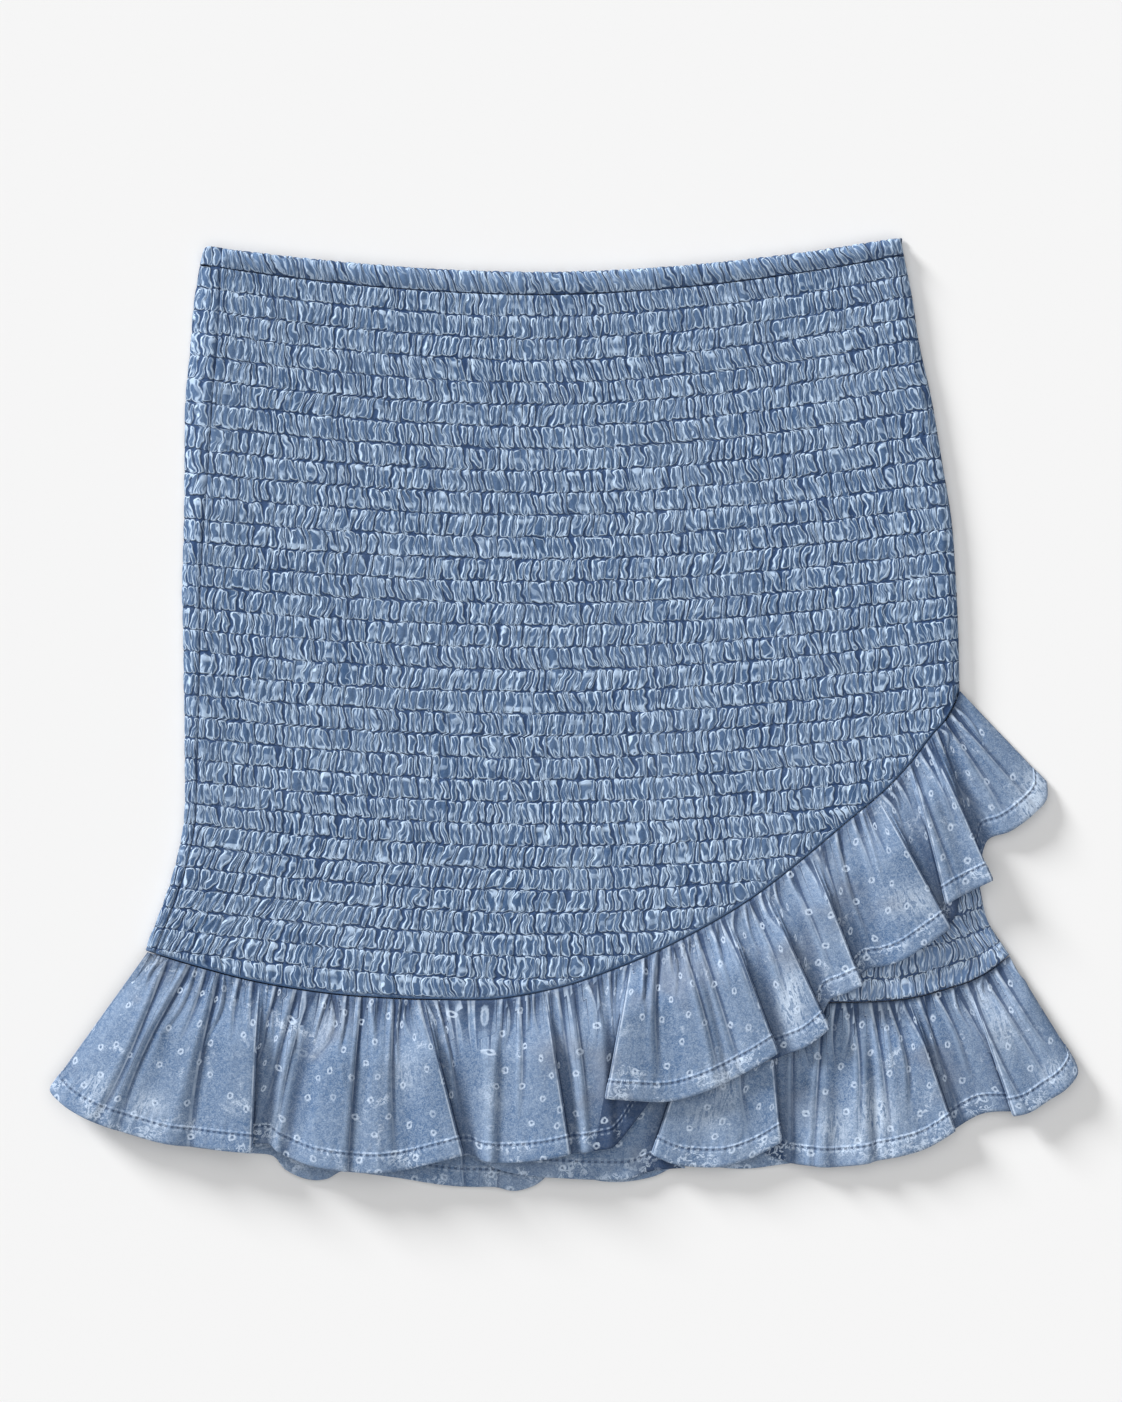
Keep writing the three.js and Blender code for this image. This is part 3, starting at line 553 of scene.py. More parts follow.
def front_wrap_panel(cotton):
    """The wrapped front, shirred all over, with a narrow plain edge along its lower seam."""
    gathers = Gathers(11, 104, 34)
    row, part_index, part, line = row_steps(1, LAST_LINE)
    # Rows of the plain edge below the last gathers: place from the seam, and height
    strip = (0.66, 0.3, 0.0)
    strip_top = (0.4, 0.25, -0.6)
    columns, rows = gathers.columns(), len(row) + len(strip)
    piece, i, j = grid("shirred_front_wrap", columns, rows)
    body = j < len(row)
    k = np.minimum(j, len(row) - 1)
    share = gathers.at(i, row[k], part[k])
    across = front_across(share)
    lines = line[k] + SEAM_GAP / ROW_PITCH * (k == 0)
    x, y, cut = on_line(lines, across, wrap_lowest)
    x, y, cut = on_line(lines, across, wrap_lowest, past=settle(i, j, share, cut))
    rise = np.where(cut, 0.35, gathers.rise(i, row[k], part_index[k]))
    s = np.maximum(j - len(row), 0)
    seam = wrap_seam(x)
    y = np.where(body, y, seam + (wrap_lowest(x) - seam) * np.take(strip, s))
    rise = np.where(body, rise, np.take(strip_top, s))
    x = np.minimum(x, right_edge(y))
    out, top = side_round(x, right_edge(y), LINE_TOP, UNDER_FLOOR)
    dip = 1 - smooth((x - side_seam(y)) / 1.2)
    z = top + PUFF * rise * np.sqrt(1 - out**2) - 0.35 * dip
    x = x + (PUFF * rise - 0.5) * out * 0.9
    place(piece, np.stack([x, y, z], 1))
    near_seam = smooth((y - seam) / 1.2 - 0.3)
    # Painted shade, as deep: full on the plain edge's last row in the groove of the lower seam, and a
    # little in the dip at the side seam
    mark(piece, gathers.count(i), line[k] + 0.02 * s, np.where(body, 1 - near_seam, 1),
         np.where(s == len(strip) - 1, 1.0, 0.25 * dip))
    weld(piece)
    line_panel(piece, inner_face)
    dress(piece, cotton, "front_wrap_panel")
    return piece


def under_line_at(line, x):
    """Shirring lines of the under front, which turn to follow its lower seam."""
    turned = smooth((line - UNDER_FIRST_LINE) / (LAST_LINE - UNDER_FIRST_LINE))
    return line_at(line, x) + (hip_seam(x) - line_at(float(LAST_LINE), x)) * turned


def front_under_panel(cotton):
    """The under front: plain where it is hidden, shirred at the lower right where it shows."""
    gathers = Gathers(23, 32, 40)
    # The hidden part has few points: these columns, and rows on these lines
    hidden_columns = 9
    hidden_lines = np.array([0.2, 3, 6, 9, 12, 15, 18, 21, 23])
    row, part_index, part, line = row_steps(UNDER_FIRST_LINE, LAST_LINE)
    columns = hidden_columns + gathers.columns()
    rows = len(hidden_lines) + len(row)
    piece, i, j = grid("shirred_front_under", columns, rows)
    k = np.maximum(j - len(hidden_lines), 0)
    c = np.maximum(i - hidden_columns, 0)
    share = gathers.at(c, row[k], part[k])
    hidden_row = j < len(hidden_lines)
    lines = np.where(hidden_row, hidden_lines[np.minimum(j, len(hidden_lines) - 1)], line[k])

    def across(y):
        left = left_edge(y) + UNDER_INSET
        right = right_edge(y) - UNDER_SIDE_INSET * smooth((y - UNDER_SIDE_SHOWN) / 14)
        plain = left + (UNDER_SHOWN_FROM - left) * i / hidden_columns
        shown = UNDER_SHOWN_FROM + (right - UNDER_SHOWN_FROM) * share
        return np.where(i < hidden_columns, plain, shown)

    x, y, _ = on_line(lines, across, None, under_line_at)
    fade = smooth((x - UNDER_SHOWN_FROM) / 6) * ~hidden_row
    rise = gathers.rise(c, row[k], part_index[k]) * fade
    last = j == rows - 1
    z = UNDER_FLOOR + PANEL_WALL + 0.6 + PUFF * np.where(last, -0.9, rise)
    edge = smooth((right_edge(y) - x) / 1.5)
    z = np.where(y < UNDER_SIDE_SHOWN, UNDER_FLOOR + 0.6 + (z - UNDER_FLOOR - 0.6) * edge, z)
    place(piece, np.stack([x, y, z], 1))
    # Painted shade, as deep, along the last row at the lower seam
    mark(piece, gathers.count(c), lines, 1 - fade, np.where(last, 0.9, 0))
    weld(piece)
    line_panel(piece, lambda co: (co.x, co.y, UNDER_FLOOR * MM))
    dress(piece, cotton, "front_under_panel")
    return piece


def wrapped_back(name, node, material, lines, gathers, row, part_index, part, lowest):
    """A piece of the back. It lies flat underneath and wraps round the left edge to the side seam."""
    # Puffs between the side seam and the left edge
    strip_cells = 5
    piece, i, j = grid(name, gathers.columns(), len(lines))
    share = gathers.at(i, row[j], part[j])
    split = strip_cells / gathers.cells
    arc = math.pi * BEND_RADIUS
    turned = np.zeros(len(i))

    def across(y):
        strip = np.maximum(side_seam(y) - left_edge(y) - BEND_INSET, 0.4)
        run = share / split * (strip + arc)
        flat = (share - split) / (1 - split)
        bend = np.clip((run - strip) / BEND_RADIUS, 0, math.pi)
        x = side_seam(y) - np.minimum(run, strip)
        x = np.where(run > strip, left_edge(y) + BEND_INSET - BEND_RADIUS * np.sin(bend), x)
        under = left_edge(y) + BEND_INSET + (right_edge(y) - left_edge(y) - BEND_INSET) * flat
        turned[:] = np.where(share > split, math.pi, bend)
        return np.where(share > split, under, x)

    x, y, cut = on_line(lines[j], across, lowest)
    if lowest is not None:
        x, y, cut = on_line(lines[j], across, lowest, past=settle(i, j, share, cut))
    rise = np.where(cut, 0.2, gathers.rise(i, row[j], part_index[j]))
    dip = 1 - smooth(share / split * 6)
    top = (1 + np.cos(turned)) * LINE_TOP / 2
    lift = np.where(share > split, 0.0, PUFF * rise)
    x = x - lift * np.sin(turned)
    z = top + lift * np.maximum(np.cos(turned), 0) - 0.35 * dip
    z = np.where(share > split, 0.45 * (1 - np.clip(rise, 0, 1)), np.maximum(z, 0))
    if lowest is None:
        y = y - corner_drop(x - left_edge(y)) * (1 - lines[j])
    place(piece, np.stack([x, y, z], 1))
    near_seam = 0 if lowest is None else 1 - smooth((y - lowest(x)) / 2.5)
    # Painted shade, as deep, in the dip at the side seam
    mark(piece, gathers.count(i) + 200, lines[j], np.maximum(near_seam, 0 * x), 0.25 * dip)
    face_up(piece, [int(n) for n in np.flatnonzero(share < split * 0.3)[:400]])
    weld(piece)
    thicken(piece, PANEL_WALL)
    for vertex in piece.data.vertices:
        vertex.co.z = max(vertex.co.z, 0)
    dress(piece, material, node)
    return piece


# Casing: places down its face, each with its height and how deep the gathers cut there
CASING_SECTION = table("line height cut", [
    (0.0, 0.0, 0.5), (0.03, 0.34, 0.9), (0.1, 0.7, 1), (0.22, 0.92, 1), (0.4, 1.0, 1),
    (0.6, 0.9, 1), (0.78, 0.66, 0.9), (0.9, 0.36, 0.6), (0.96, 0.18, 0.3), (1.0, 0.1, 0.2),
])


def corner_drop(from_side):
    """How far the waist edge drops as it rounds a corner."""
    near = np.clip(CORNER_RADIUS - from_side, 0, CORNER_RADIUS)
    return CORNER_RADIUS - np.sqrt(CORNER_RADIUS**2 - near**2)


def waist_casing_front(cotton):
    """The casing over the waist elastic, with slanting gathers."""
    chance = np.random.default_rng(5)
    cells, across_cell = 100, 5
    piece, i, j = grid("waist_casing_front_cloth", cells * across_cell + 1, len(CASING_SECTION))
    line, height, cut = (np.array([row[part] for row in CASING_SECTION])[j]
                         for part in ("line", "height", "cut"))
    jitter = chance.uniform(-0.33, 0.33, cells + 1)
    lean = 0.9 + chance.normal(0, 0.4, cells + 1)
    full = chance.uniform(0.5, 1.1, cells + 1)
    cell = np.minimum(i // across_cell, cells - 1)
    within = (i - cell * across_cell) / across_cell
    knots = np.arange(cells + 1)
    ease = np.minimum(1, np.minimum(knots, cells - knots) / 3)
    edges, slants = knots + jitter * ease, lean * ease
    near = edges[cell] * (1 - within) + edges[cell + 1] * within
    slant = slants[cell] * (1 - within) + slants[cell + 1] * within
    share = (near + slant * (line - 0.5)) / cells
    x, y, _ = on_line(line, front_across(np.clip(share, 0, 1)))
    rise = np.sin(np.pi * within) ** 0.6 * full[cell]
    low = LINE_TOP - 0.3
    out, top = side_round(x, right_edge(y), low + (CASING_TOP - low) * height, UNDER_FLOOR)
    z = top + (rise - 0.5) * cut * np.sqrt(1 - out**2) - 1.6 * (j == 0)
    x = x + (rise - 0.6) * out
    y = y + np.where(j < 2, (rise - 0.5) * 0.5, 0) - corner_drop(right_edge(y) - x) * (1 - line)
    place(piece, np.stack([x, y, z], 1))
    # Painted shade, as deep, along the casing's lower line under its edge
    mark(piece, cell + within, line * 0.96 + 0.02, 0 * x, np.where(line == 1, 0.8, 0))
    weld(piece)
    line_panel(piece, inner_face)
    dress(piece, cotton, "waist_casing_front")
    return piece


def back_panel(cotton):
    gathers = Gathers(37, 90, 36, 10)
    row, part_index, part, lines = row_steps(1, LAST_LINE)
    piece = wrapped_back("shirred_back", "back_panel", cotton, lines, gathers,
                         row, part_index, part, hip_seam)
    return piece


def waist_casing_back(cotton):
    gathers = Gathers(41, 90, 3, 10)
    lines = np.array([0, 0.06, 0.2, 0.45, 0.75, 0.92, 1.0])
    row = np.zeros(len(lines), int)
    part_index = np.array([0, 1, 2, 3, 4, 5, 0])
    piece = wrapped_back("waist_casing_back_cloth", "waist_casing_back", cotton, lines,
                         gathers, row, part_index, lines * 0.98 + 0.01, None)
    return piece


# Ruffles

def root_point(seam, x):
    slope = (seam(x + 1.5) - seam(x - 1.5)) / 3
    size = np.sqrt(1 + slope**2)
    reach = SEAM_GAP + 0.1
    return np.stack([x + reach * slope / size, seam(x) - reach / size], -1)


def cloth_lines(rows):
    """The lines of cloth along a ruffle. A folded row becomes four, as the cloth turns down, runs
    back under itself, turns down again and comes out below."""
    lines = []
    for n, row in enumerate(rows):
        hem = np.array([row["x"], row["y"]], float)
        wave = {"rest": row["rest"], "wave": row["wave"]}
        lap = row.get("lap", 0)
        if not lap:
            lines.append({**wave, "root": row["root"], "hem": hem, "drop": 0, "back": 0 * hem,
                          "turn": 0, "side": 0})
            continue
        near = rows[n - 1] if lap > 0 else rows[n + 1]
        along = np.array([near["x"], near["y"]]) - hem
        along = along / np.linalg.norm(along) * abs(lap)
        turns = [(0, 0 * hem), (1, 0 * hem), (1.2, along), (2.2, along)]
        for step, (drop, back) in enumerate(turns if lap > 0 else turns[::-1]):
            root = row["root"] + (step - 1.5) * TURN_STEP
            side = np.sign(lap) if step == (0 if lap > 0 else 3) else 0
            lines.append({**wave, "root": root, "hem": hem, "drop": drop, "back": back,
                          "turn": 1, "side": side})
    return lines


def spline(points, counts):
    """Points between lines of cloth, along the ruffle, on a curve that keeps to short turns."""
    first = 2 * points[:, :1] - points[:, 1:2]
    last = 2 * points[:, -1:] - points[:, -2:-1]
    p = np.concatenate([first, points, last], 1)
    out = []
    for n, count in enumerate(counts):
        a, b, c, d = (p[:, n + m] for m in range(4))
        ab, bc, cd = (np.sqrt(np.maximum(np.linalg.norm(v - u, axis=-1, keepdims=True), 0.05))
                      for u, v in ((a, b), (b, c), (c, d)))
        into = ((b - a) / ab - (c - a) / (ab + bc) + (c - b) / bc) * bc
        off = ((c - b) / bc - (d - b) / (bc + cd) + (d - c) / cd) * bc
        for t in np.arange(count) / count:
            bend = into * (t - 2 * t**2 + t**3) + off * (t**3 - t**2)
            out.append(b + (c - b) * smooth(t) + bend)
    out.append(points[:, -1])
    return np.stack(out, 1)


def face_of(points):
    """Upward normals of a grid of points whose rows run from seam to hem."""
    down = np.gradient(points, axis=0)
    along = np.gradient(points, axis=1)
    normal = np.cross(down, along)
    return normal / np.maximum(np.linalg.norm(normal, axis=-1, keepdims=True), 1e-9)


class Folds:
    """A ruffle's fold lines, with the relief and the shade that they give its cloth. t is how far
    down the ruffle each point is, as a share, and along is how far along the seam, in mm."""

    def __init__(self, t, along, chance):
        self.t, self.along, self.chance = t, along, chance
        self.past = np.full(t.shape, NO_FOLD)
        self.clear, self.relief, self.shade = (np.zeros(t.shape) for _ in range(3))

    def draw(self, past, clear):
        """Keeps the nearest fold line at each point: how far past it, in mm, and how clear it is."""
        nearer = (np.abs(past) < np.abs(self.past)) & (clear > 0.04)
        self.past[nearer] = past[nearer]
        self.clear[nearer] = clear[nearer]

    def crease(self, at, drift, width, height, ends, clear):
        """A fold with its crest to the left of its hollow, dying out on the way to the hem."""
        curve = self.chance.normal(0, 1.3) * np.sin(np.pi * np.minimum(self.t / ends, 1))
        off = self.along[None, :] - at - drift * self.t * 0.6 - curve
        fade = np.clip(1.15 - self.t / ends, 0, 1) ** 0.6
        self.draw(off * (0.45 + 0.85 * smooth(self.t / 0.35)), clear * fade)
        off = off / (width * (0.65 + 0.3 * self.t))
        crest = 0.75 * np.exp(-((off + 1.7) / 1.3) ** 2)
        pinch = 0.3 + 0.7 * smooth(self.t / 0.07)
        self.relief += 0.8 * height * fade * pinch * (crest - np.exp(-(off**2)))

    def gather(self, much):
        """Small gathers all along the seam, between the creases of the table."""
        at, pick = 0.0, self.chance.uniform
        while at < self.along[-1]:
            at += pick(*GATHER_STEP)
            self.crease(at, self.chance.normal(0, 5), pick(*GATHER_WIDTH), pick(*GATHER_HEIGHT) * much,
                        pick(*GATHER_ENDS), pick(*GATHER_CLEAR))

    def lap(self, cloth, edge, out, side):
        """A lap's edge, at one column of points. The cloth below it comes out at another column."""
        line = cloth[:, edge, :2]
        run = np.gradient(line, axis=0)
        run = run / np.linalg.norm(run, axis=1, keepdims=True)
        away = np.stack([-run[:, 1], run[:, 0]], 1) * side
        past = np.einsum("jkc,jc->jk", cloth[..., :2] - line[:, None], away)
        columns = np.arange(cloth.shape[1])
        flap, below = (columns - edge) * side <= 0, (columns - out) * side >= 0
        past = np.where(flap, np.minimum(past, -0.1), np.where(below, np.maximum(past, 0.2), NO_FOLD))
        past = np.where(np.abs(columns - edge) > LAP_REACH, NO_FOLD, past)
        self.draw(past, 0.95 * smooth(self.t / 0.1) * smooth((6 - np.abs(past)) / 3))
        shade = np.exp(-np.abs(past) / 6.0) * below * smooth(self.t / 0.2)
        self.shade = np.maximum(self.shade, shade)

    def swell(self, far):
        """Low, wide waves across the open cloth. far is how far along the hem, in mm."""
        for _ in range(SWELLS):
            at, down = self.chance.uniform(0, far[-1]), self.chance.uniform(0.35, 0.9)
            slope, width = self.chance.normal(0, 14), self.chance.uniform(1.5, 4)
            height = self.chance.normal(0, 0.28)
            here = far[None, :] - at - slope * (self.t - down)
            self.relief += height * np.exp(-(here / width) ** 2 - ((self.t - down) / 0.22) ** 2)


def hem_relief(from_hem, far):
    """Rise of the turned hem's band, and the puckers that its stitches pull."""
    band = HEM_RISE * smooth((HEM_DEPTH + 0.35 - from_hem) / 0.5)
    stitch = -0.34 * np.exp(-((from_hem - HEM_DEPTH + STITCH_INSET) / 0.45) ** 2)
    edge = -0.35 * smooth((0.9 - from_hem) / 0.9)
    pucker = 0.16 * np.sin(far * 1.35 + 2 * np.sin(far * 0.21))[None, :]
    return band + stitch + edge, pucker * np.exp(-((from_hem - HEM_DEPTH + 0.5) / 3.2) ** 2)


def hollow_of(height):
    """How far each point lies below those beside it along the ruffle."""
    hollow = np.zeros(height.shape)
    for reach in (1, 2, 3):
        beside = (height[:, 2 * reach:] + height[:, :-2 * reach]) / 2
        hollow[:, reach:-reach] += (beside - height[:, reach:-reach]) / reach**0.7
    return hollow


def rubbed_share(cloth):
    """How pale each point of a ruffle is rubbed."""
    rubbed = np.zeros(cloth.shape[:2])
    for spot in RUBBED:
        off_x = (cloth[..., 0] - spot["x"]) / spot["wide"]
        off_y = (cloth[..., 1] - spot["y"]) / spot["tall"]
        rubbed = np.maximum(rubbed, spot["much"] * np.exp(-(off_x**2 + off_y**2)))
    return rubbed


def steps_along(points):
    """How far along a row of points each of them is."""
    return np.r_[0, np.cumsum(np.linalg.norm(np.diff(points, axis=0), axis=1))]


def ruffle(name, node, rows, creases, seam, root_height, cotton, lift, seed, spacing, gather):
    """A gathered strip of cloth with a turned hem, sewn to a seam by its upper edge."""
    lines = cloth_lines(rows)
    root, rest, wave, drop, turn = (np.array([line[part] for line in lines], float)
                                    for part in ("root", "rest", "wave", "drop", "turn"))
    hems, back = (np.array([line[part] for line in lines]) for part in ("hem", "back"))
    roots = root_point(seam, root)
    depth = np.linalg.norm(hems - roots, axis=1)
    fall = np.linspace(0, 1, FALL_ROWS, endpoint=False)[:, None] * (1 - HEM_ROWS[0] / depth)
    t = np.concatenate([fall, 1 - np.array(HEM_ROWS)[:, None] / depth])
    risen = smooth(t / RISEN_AT)
    lapped = np.clip((t - LAP_FROM) / (1 - LAP_FROM), 0, 1)
    full = rest + CAD_RUFFLE_WALL / 2 + wave * lift - drop * LAYER
    z = root_height(root) * (1 - risen) + full * risen
    plan = roots + (hems - roots) * t[..., None] + back * lapped[..., None]
    base = np.concatenate([plan, z[..., None]], -1)
    gaps = np.linalg.norm(np.diff(base[-1], axis=0), axis=1)
    counts = np.maximum(3, np.rint(gaps / spacing)).astype(int)
    starts = np.r_[0, np.cumsum(counts)]
    cloth = spline(base, counts)

    def carried(values):
        """Numbers at the lines of cloth, carried to the points between them."""
        whole = np.broadcast_to(values, base.shape[:2])
        return spline(np.repeat(whole[..., None], 3, -1), counts)[..., 0]

    t = carried(t)
    along, far = steps_along(cloth[0]), steps_along(cloth[-1])
    up = face_of(cloth)
    folds = Folds(t, along, np.random.default_rng(seed))
    near_root = np.interp([row["at"] for row in creases], cloth[0, :, 0], along)
    for row, at in zip(creases, near_root):
        folds.crease(at, row["drift"], row["width"], -row["height"], row["ends"], 0.95)
    folds.gather(gather)
    for n, line in enumerate(lines):
        if line["side"]:
            folds.lap(cloth, starts[n], starts[n + 3 * int(line["side"])], line["side"])
    folds.swell(far)
    from_hem = (1 - t) * np.interp(np.arange(cloth.shape[1]), starts, depth)[None, :]
    band, pucker = hem_relief(from_hem, far)
    still = 1 - 0.75 * np.clip(carried(turn), 0, 1)
    cloth = cloth + up * ((folds.relief + pucker) * still + band)[..., None]
    cloth[..., 2] = np.maximum(cloth[..., 2], RUFFLE_WALL + 0.05)
    piece, i, j = grid(name, cloth.shape[1], len(t))
    place(piece, cloth[j, i])
    lay_out(piece, far[i], from_hem[j, i])
    # Painted shade in the hollows of the cloth and in the low valleys between its flaps
    hollow = hollow_of(cloth[..., 2])
    valley = smooth((0.3 - carried(wave)) / 0.3) * smooth((t - 0.12) / 0.4)
    # lit: how far each point faces the sun at the upper left. It gives painted highlight on slopes
    # toward the sun and on crests, and painted shade on slopes away
    lit = (up[..., 1] - up[..., 0]) * 0.9
    painted_highlight = 0.5 * lit - hollow * 1.2 * np.clip(up[..., 2], 0, 1)
    # Painted shade: hollows, valleys, under the edges of laps and on slopes that face away from the sun
    deep = hollow * 0.4 + 0.45 * valley + folds.shade + 0.5 * np.clip(-lit, 0, 1)
    # Painted shade along the seam at the top of the ruffle
    deep = deep + 1.2 * smooth(1 - t / 0.05)
    for label, values in (("painted_highlight", np.clip(painted_highlight, 0, 1)), ("deep", np.clip(deep, 0, 1)),
                          ("rubbed", rubbed_share(cloth)), ("fold", folds.past),
                          ("clear", np.clip(folds.clear, 0, 1))):
        paint(piece, label, values[j, i])
    face_out(piece)
    thicken(piece, RUFFLE_WALL)
    dress(piece, cotton, node)
    return piece


def wrap_ruffle(cotton):
    piece = ruffle("ruffle_of_front_wrap", "wrap_ruffle", WRAP_WAVES, WRAP_CREASES, wrap_seam,
                   lambda x: WRAP_ROOT - 2.1 * smooth((x - 159) / 8), cotton, 4.4, 3, 0.88, 1.4)
    return piece


def under_ruffle(cotton):
    piece = ruffle("ruffle_of_front_under", "under_ruffle", UNDER_WAVES, UNDER_CREASES, hip_seam,
                   lambda x: UNDER_ROOT + 0 * x, cotton, 4.0, 8, 0.9, 1.4)
    return piece


def back_ruffle(cotton):
    piece = ruffle("ruffle_of_back", "back_ruffle", BACK_WAVES, BACK_CREASES, hip_seam,
                   lambda x: 1.2 + 0 * x, cotton, 1.7, 14, 1.5, 0.25)
    return piece


# Finishes

def srgb(r, g, b):
    return tuple(((c / 255 + 0.055) / 1.055) ** 2.4 if c > 10 else c / 3294 for c in (r, g, b)) + (1.0,)


PALE_BLUE = srgb(192, 214, 239)
# Dark of the shirred cotton: painted shade in creases and along seams, and the elastic thread
SHADE_AND_THREAD_BLUE = srgb(34, 56, 96)
DRAWN = {"Light": "Float", "Deep": "Float", "Height": "Float"}


class Value:
    """An output of a shader node. Sums on it add the nodes that they need."""

    def __init__(self, socket):
        self.socket = socket
        self.tree = socket.id_data

    def __add__(self, other):
        return calc("ADD", self, other)

    def __sub__(self, other):
        return calc("SUBTRACT", self, other)

    def __rsub__(self, other):
        return calc("SUBTRACT", other, self)

    def __mul__(self, other):
        return calc("MULTIPLY", self, other)

    def __abs__(self):
        return calc("ABSOLUTE", self)

    def at_least(self, other):
        return calc("MAXIMUM", self, other)

    def at_most(self, other):
        return calc("MINIMUM", self, other)

    def between(self, low, high, out_low=0.0, out_high=1.0):
        """Eases from out_low, where the value is low, to out_high, where it is high."""
        node = self.tree.nodes.new("ShaderNodeMapRange")
        node.interpolation_type = "SMOOTHSTEP"
        fill(node, {"Value": self, "From Min": low, "From Max": high,
                    "To Min": out_low, "To Max": out_high})
        return Value(node.outputs["Result"])

    def below(self, start, end):
        """1 where the value is below start, fading to 0 at end."""
        return self.between(start, end, 1.0, 0.0)

    def around(self, level, half, soft):
        """A line where the value passes one level, with its half width and the width of its edge."""
        return abs(self - level).below(half, half + soft)


def fill(node, inputs):
    """Sets or links a node's inputs, by name or by number."""
    for label, value in inputs.items():
        feed(node.inputs[label], value)
    return node


def feed(socket, value):
    if isinstance(value, Value):
        value.tree.links.new(value.socket, socket)
    else:
        socket.default_value = value


def calc(operation, *values):
    tree = next(value.tree for value in values if isinstance(value, Value))
    node = tree.nodes.new("ShaderNodeMath")
    node.operation = operation
    return Value(fill(node, dict(enumerate(values))).outputs[0])


def noise(place, scale, detail=3.0, rough=0.55, warp=0.0):
    node = place.tree.nodes.new("ShaderNodeTexNoise")
    fill(node, {"Vector": place, "Scale": scale, "Detail": detail, "Roughness": rough,
                "Distortion": warp})
    return Value(node.outputs["Fac"])


def parts(kind, whole):
    """The three parts of a vector, kind XYZ, or of a colour, kind Color."""
    node = fill(whole.tree.nodes.new("ShaderNodeSeparate" + kind), {0: whole})
    return [Value(part) for part in node.outputs]


def noises(place, scale):
    """Three unlike noises of one scale."""
    node = place.tree.nodes.new("ShaderNodeTexNoise")
    fill(node, {"Vector": place, "Scale": scale, "Detail": 0})
    return parts("Color", Value(node.outputs["Color"]))


def joined(x, y):
    return Value(fill(x.tree.nodes.new("ShaderNodeCombineXYZ"), {0: x, 1: y}).outputs[0])


def chances(x, y):
    """Three chance numbers and a fourth, the same wherever x and y are."""
    node = x.tree.nodes.new("ShaderNodeTexWhiteNoise")
    node.noise_dimensions = "2D"
    fill(node, {"Vector": joined(x, y)})
    return parts("Color", Value(node.outputs["Color"])) + [Value(node.outputs["Value"])]


def blend(share, a, b):
    node = share.tree.nodes.new("ShaderNodeMix")
    node.data_type = "RGBA"
    return Value(fill(node, {"Factor": share, 6: a, 7: b}).outputs[2])


def stretched(place, scale, turn=0.0):
    node = place.tree.nodes.new("ShaderNodeMapping")
    fill(node, {"Vector": place, "Scale": scale, "Rotation": (0, 0, turn)})
    return Value(node.outputs["Vector"])


def new_group(name, inputs, outputs):
    """A shader group, its inputs and its outputs, each named and with its kind."""
    tree = bpy.data.node_groups.new(name, "ShaderNodeTree")
    for side, sockets in (("INPUT", inputs), ("OUTPUT", outputs)):
        for label, kind in sockets.items():
            tree.interface.new_socket(label, in_out=side, socket_type="NodeSocket" + kind)
    given = tree.nodes.new("NodeGroupInput").outputs
    given = {label: Value(given[label]) for label in inputs}
    return tree, given, tree.nodes.new("NodeGroupOutput").inputs


def use_group(tree, group, **inputs):
    node = tree.nodes.new("ShaderNodeGroup")
    node.node_tree = group
    return {socket.name: Value(socket) for socket in fill(node, inputs).outputs}


def attribute(tree, name):
    node = tree.nodes.new("ShaderNodeAttribute")
    node.attribute_name = name
    return Value(node.outputs["Fac"])


def mineral_wash():
    """Blue cotton after a mineral wash: cloudy tone, pale for rubbed places and painted highlight, and
    dark for painted shade and for dark threads and hairs.
    """
    tree, given, out = new_group(
        "mineral_wash",
        {"Place": "Vector", "Blue": "Color", "Pale": "Color", "Dark": "Color",
         "Light": "Float", "Deep": "Float", "Cloud": "Float"},
        {"Color": "Color", "Height": "Float"},
    )
    where = given["Place"]
    cloud = noise(where, 30, 3, 0.6).between(0.3, 0.72)
    mottle = noise(where, 380, 4, 0.7, 0.8).between(0.32, 0.72)
    grain = noise(where, 1700, 2, 0.6)
    tone = cloud * 0.5 + mottle * 0.5
    color = blend(tone * given["Cloud"], given["Blue"], given["Pale"])
    light = (given["Light"] + (grain - 0.5) * 0.3).at_least(0.0).at_most(1.0)
    color = blend(light, color, given["Pale"])
    color = blend(given["Deep"] * 0.9, color, given["Dark"])
    feed(out["Color"], color)
    feed(out["Height"], grain * 0.5 + mottle * 0.5)
    return tree


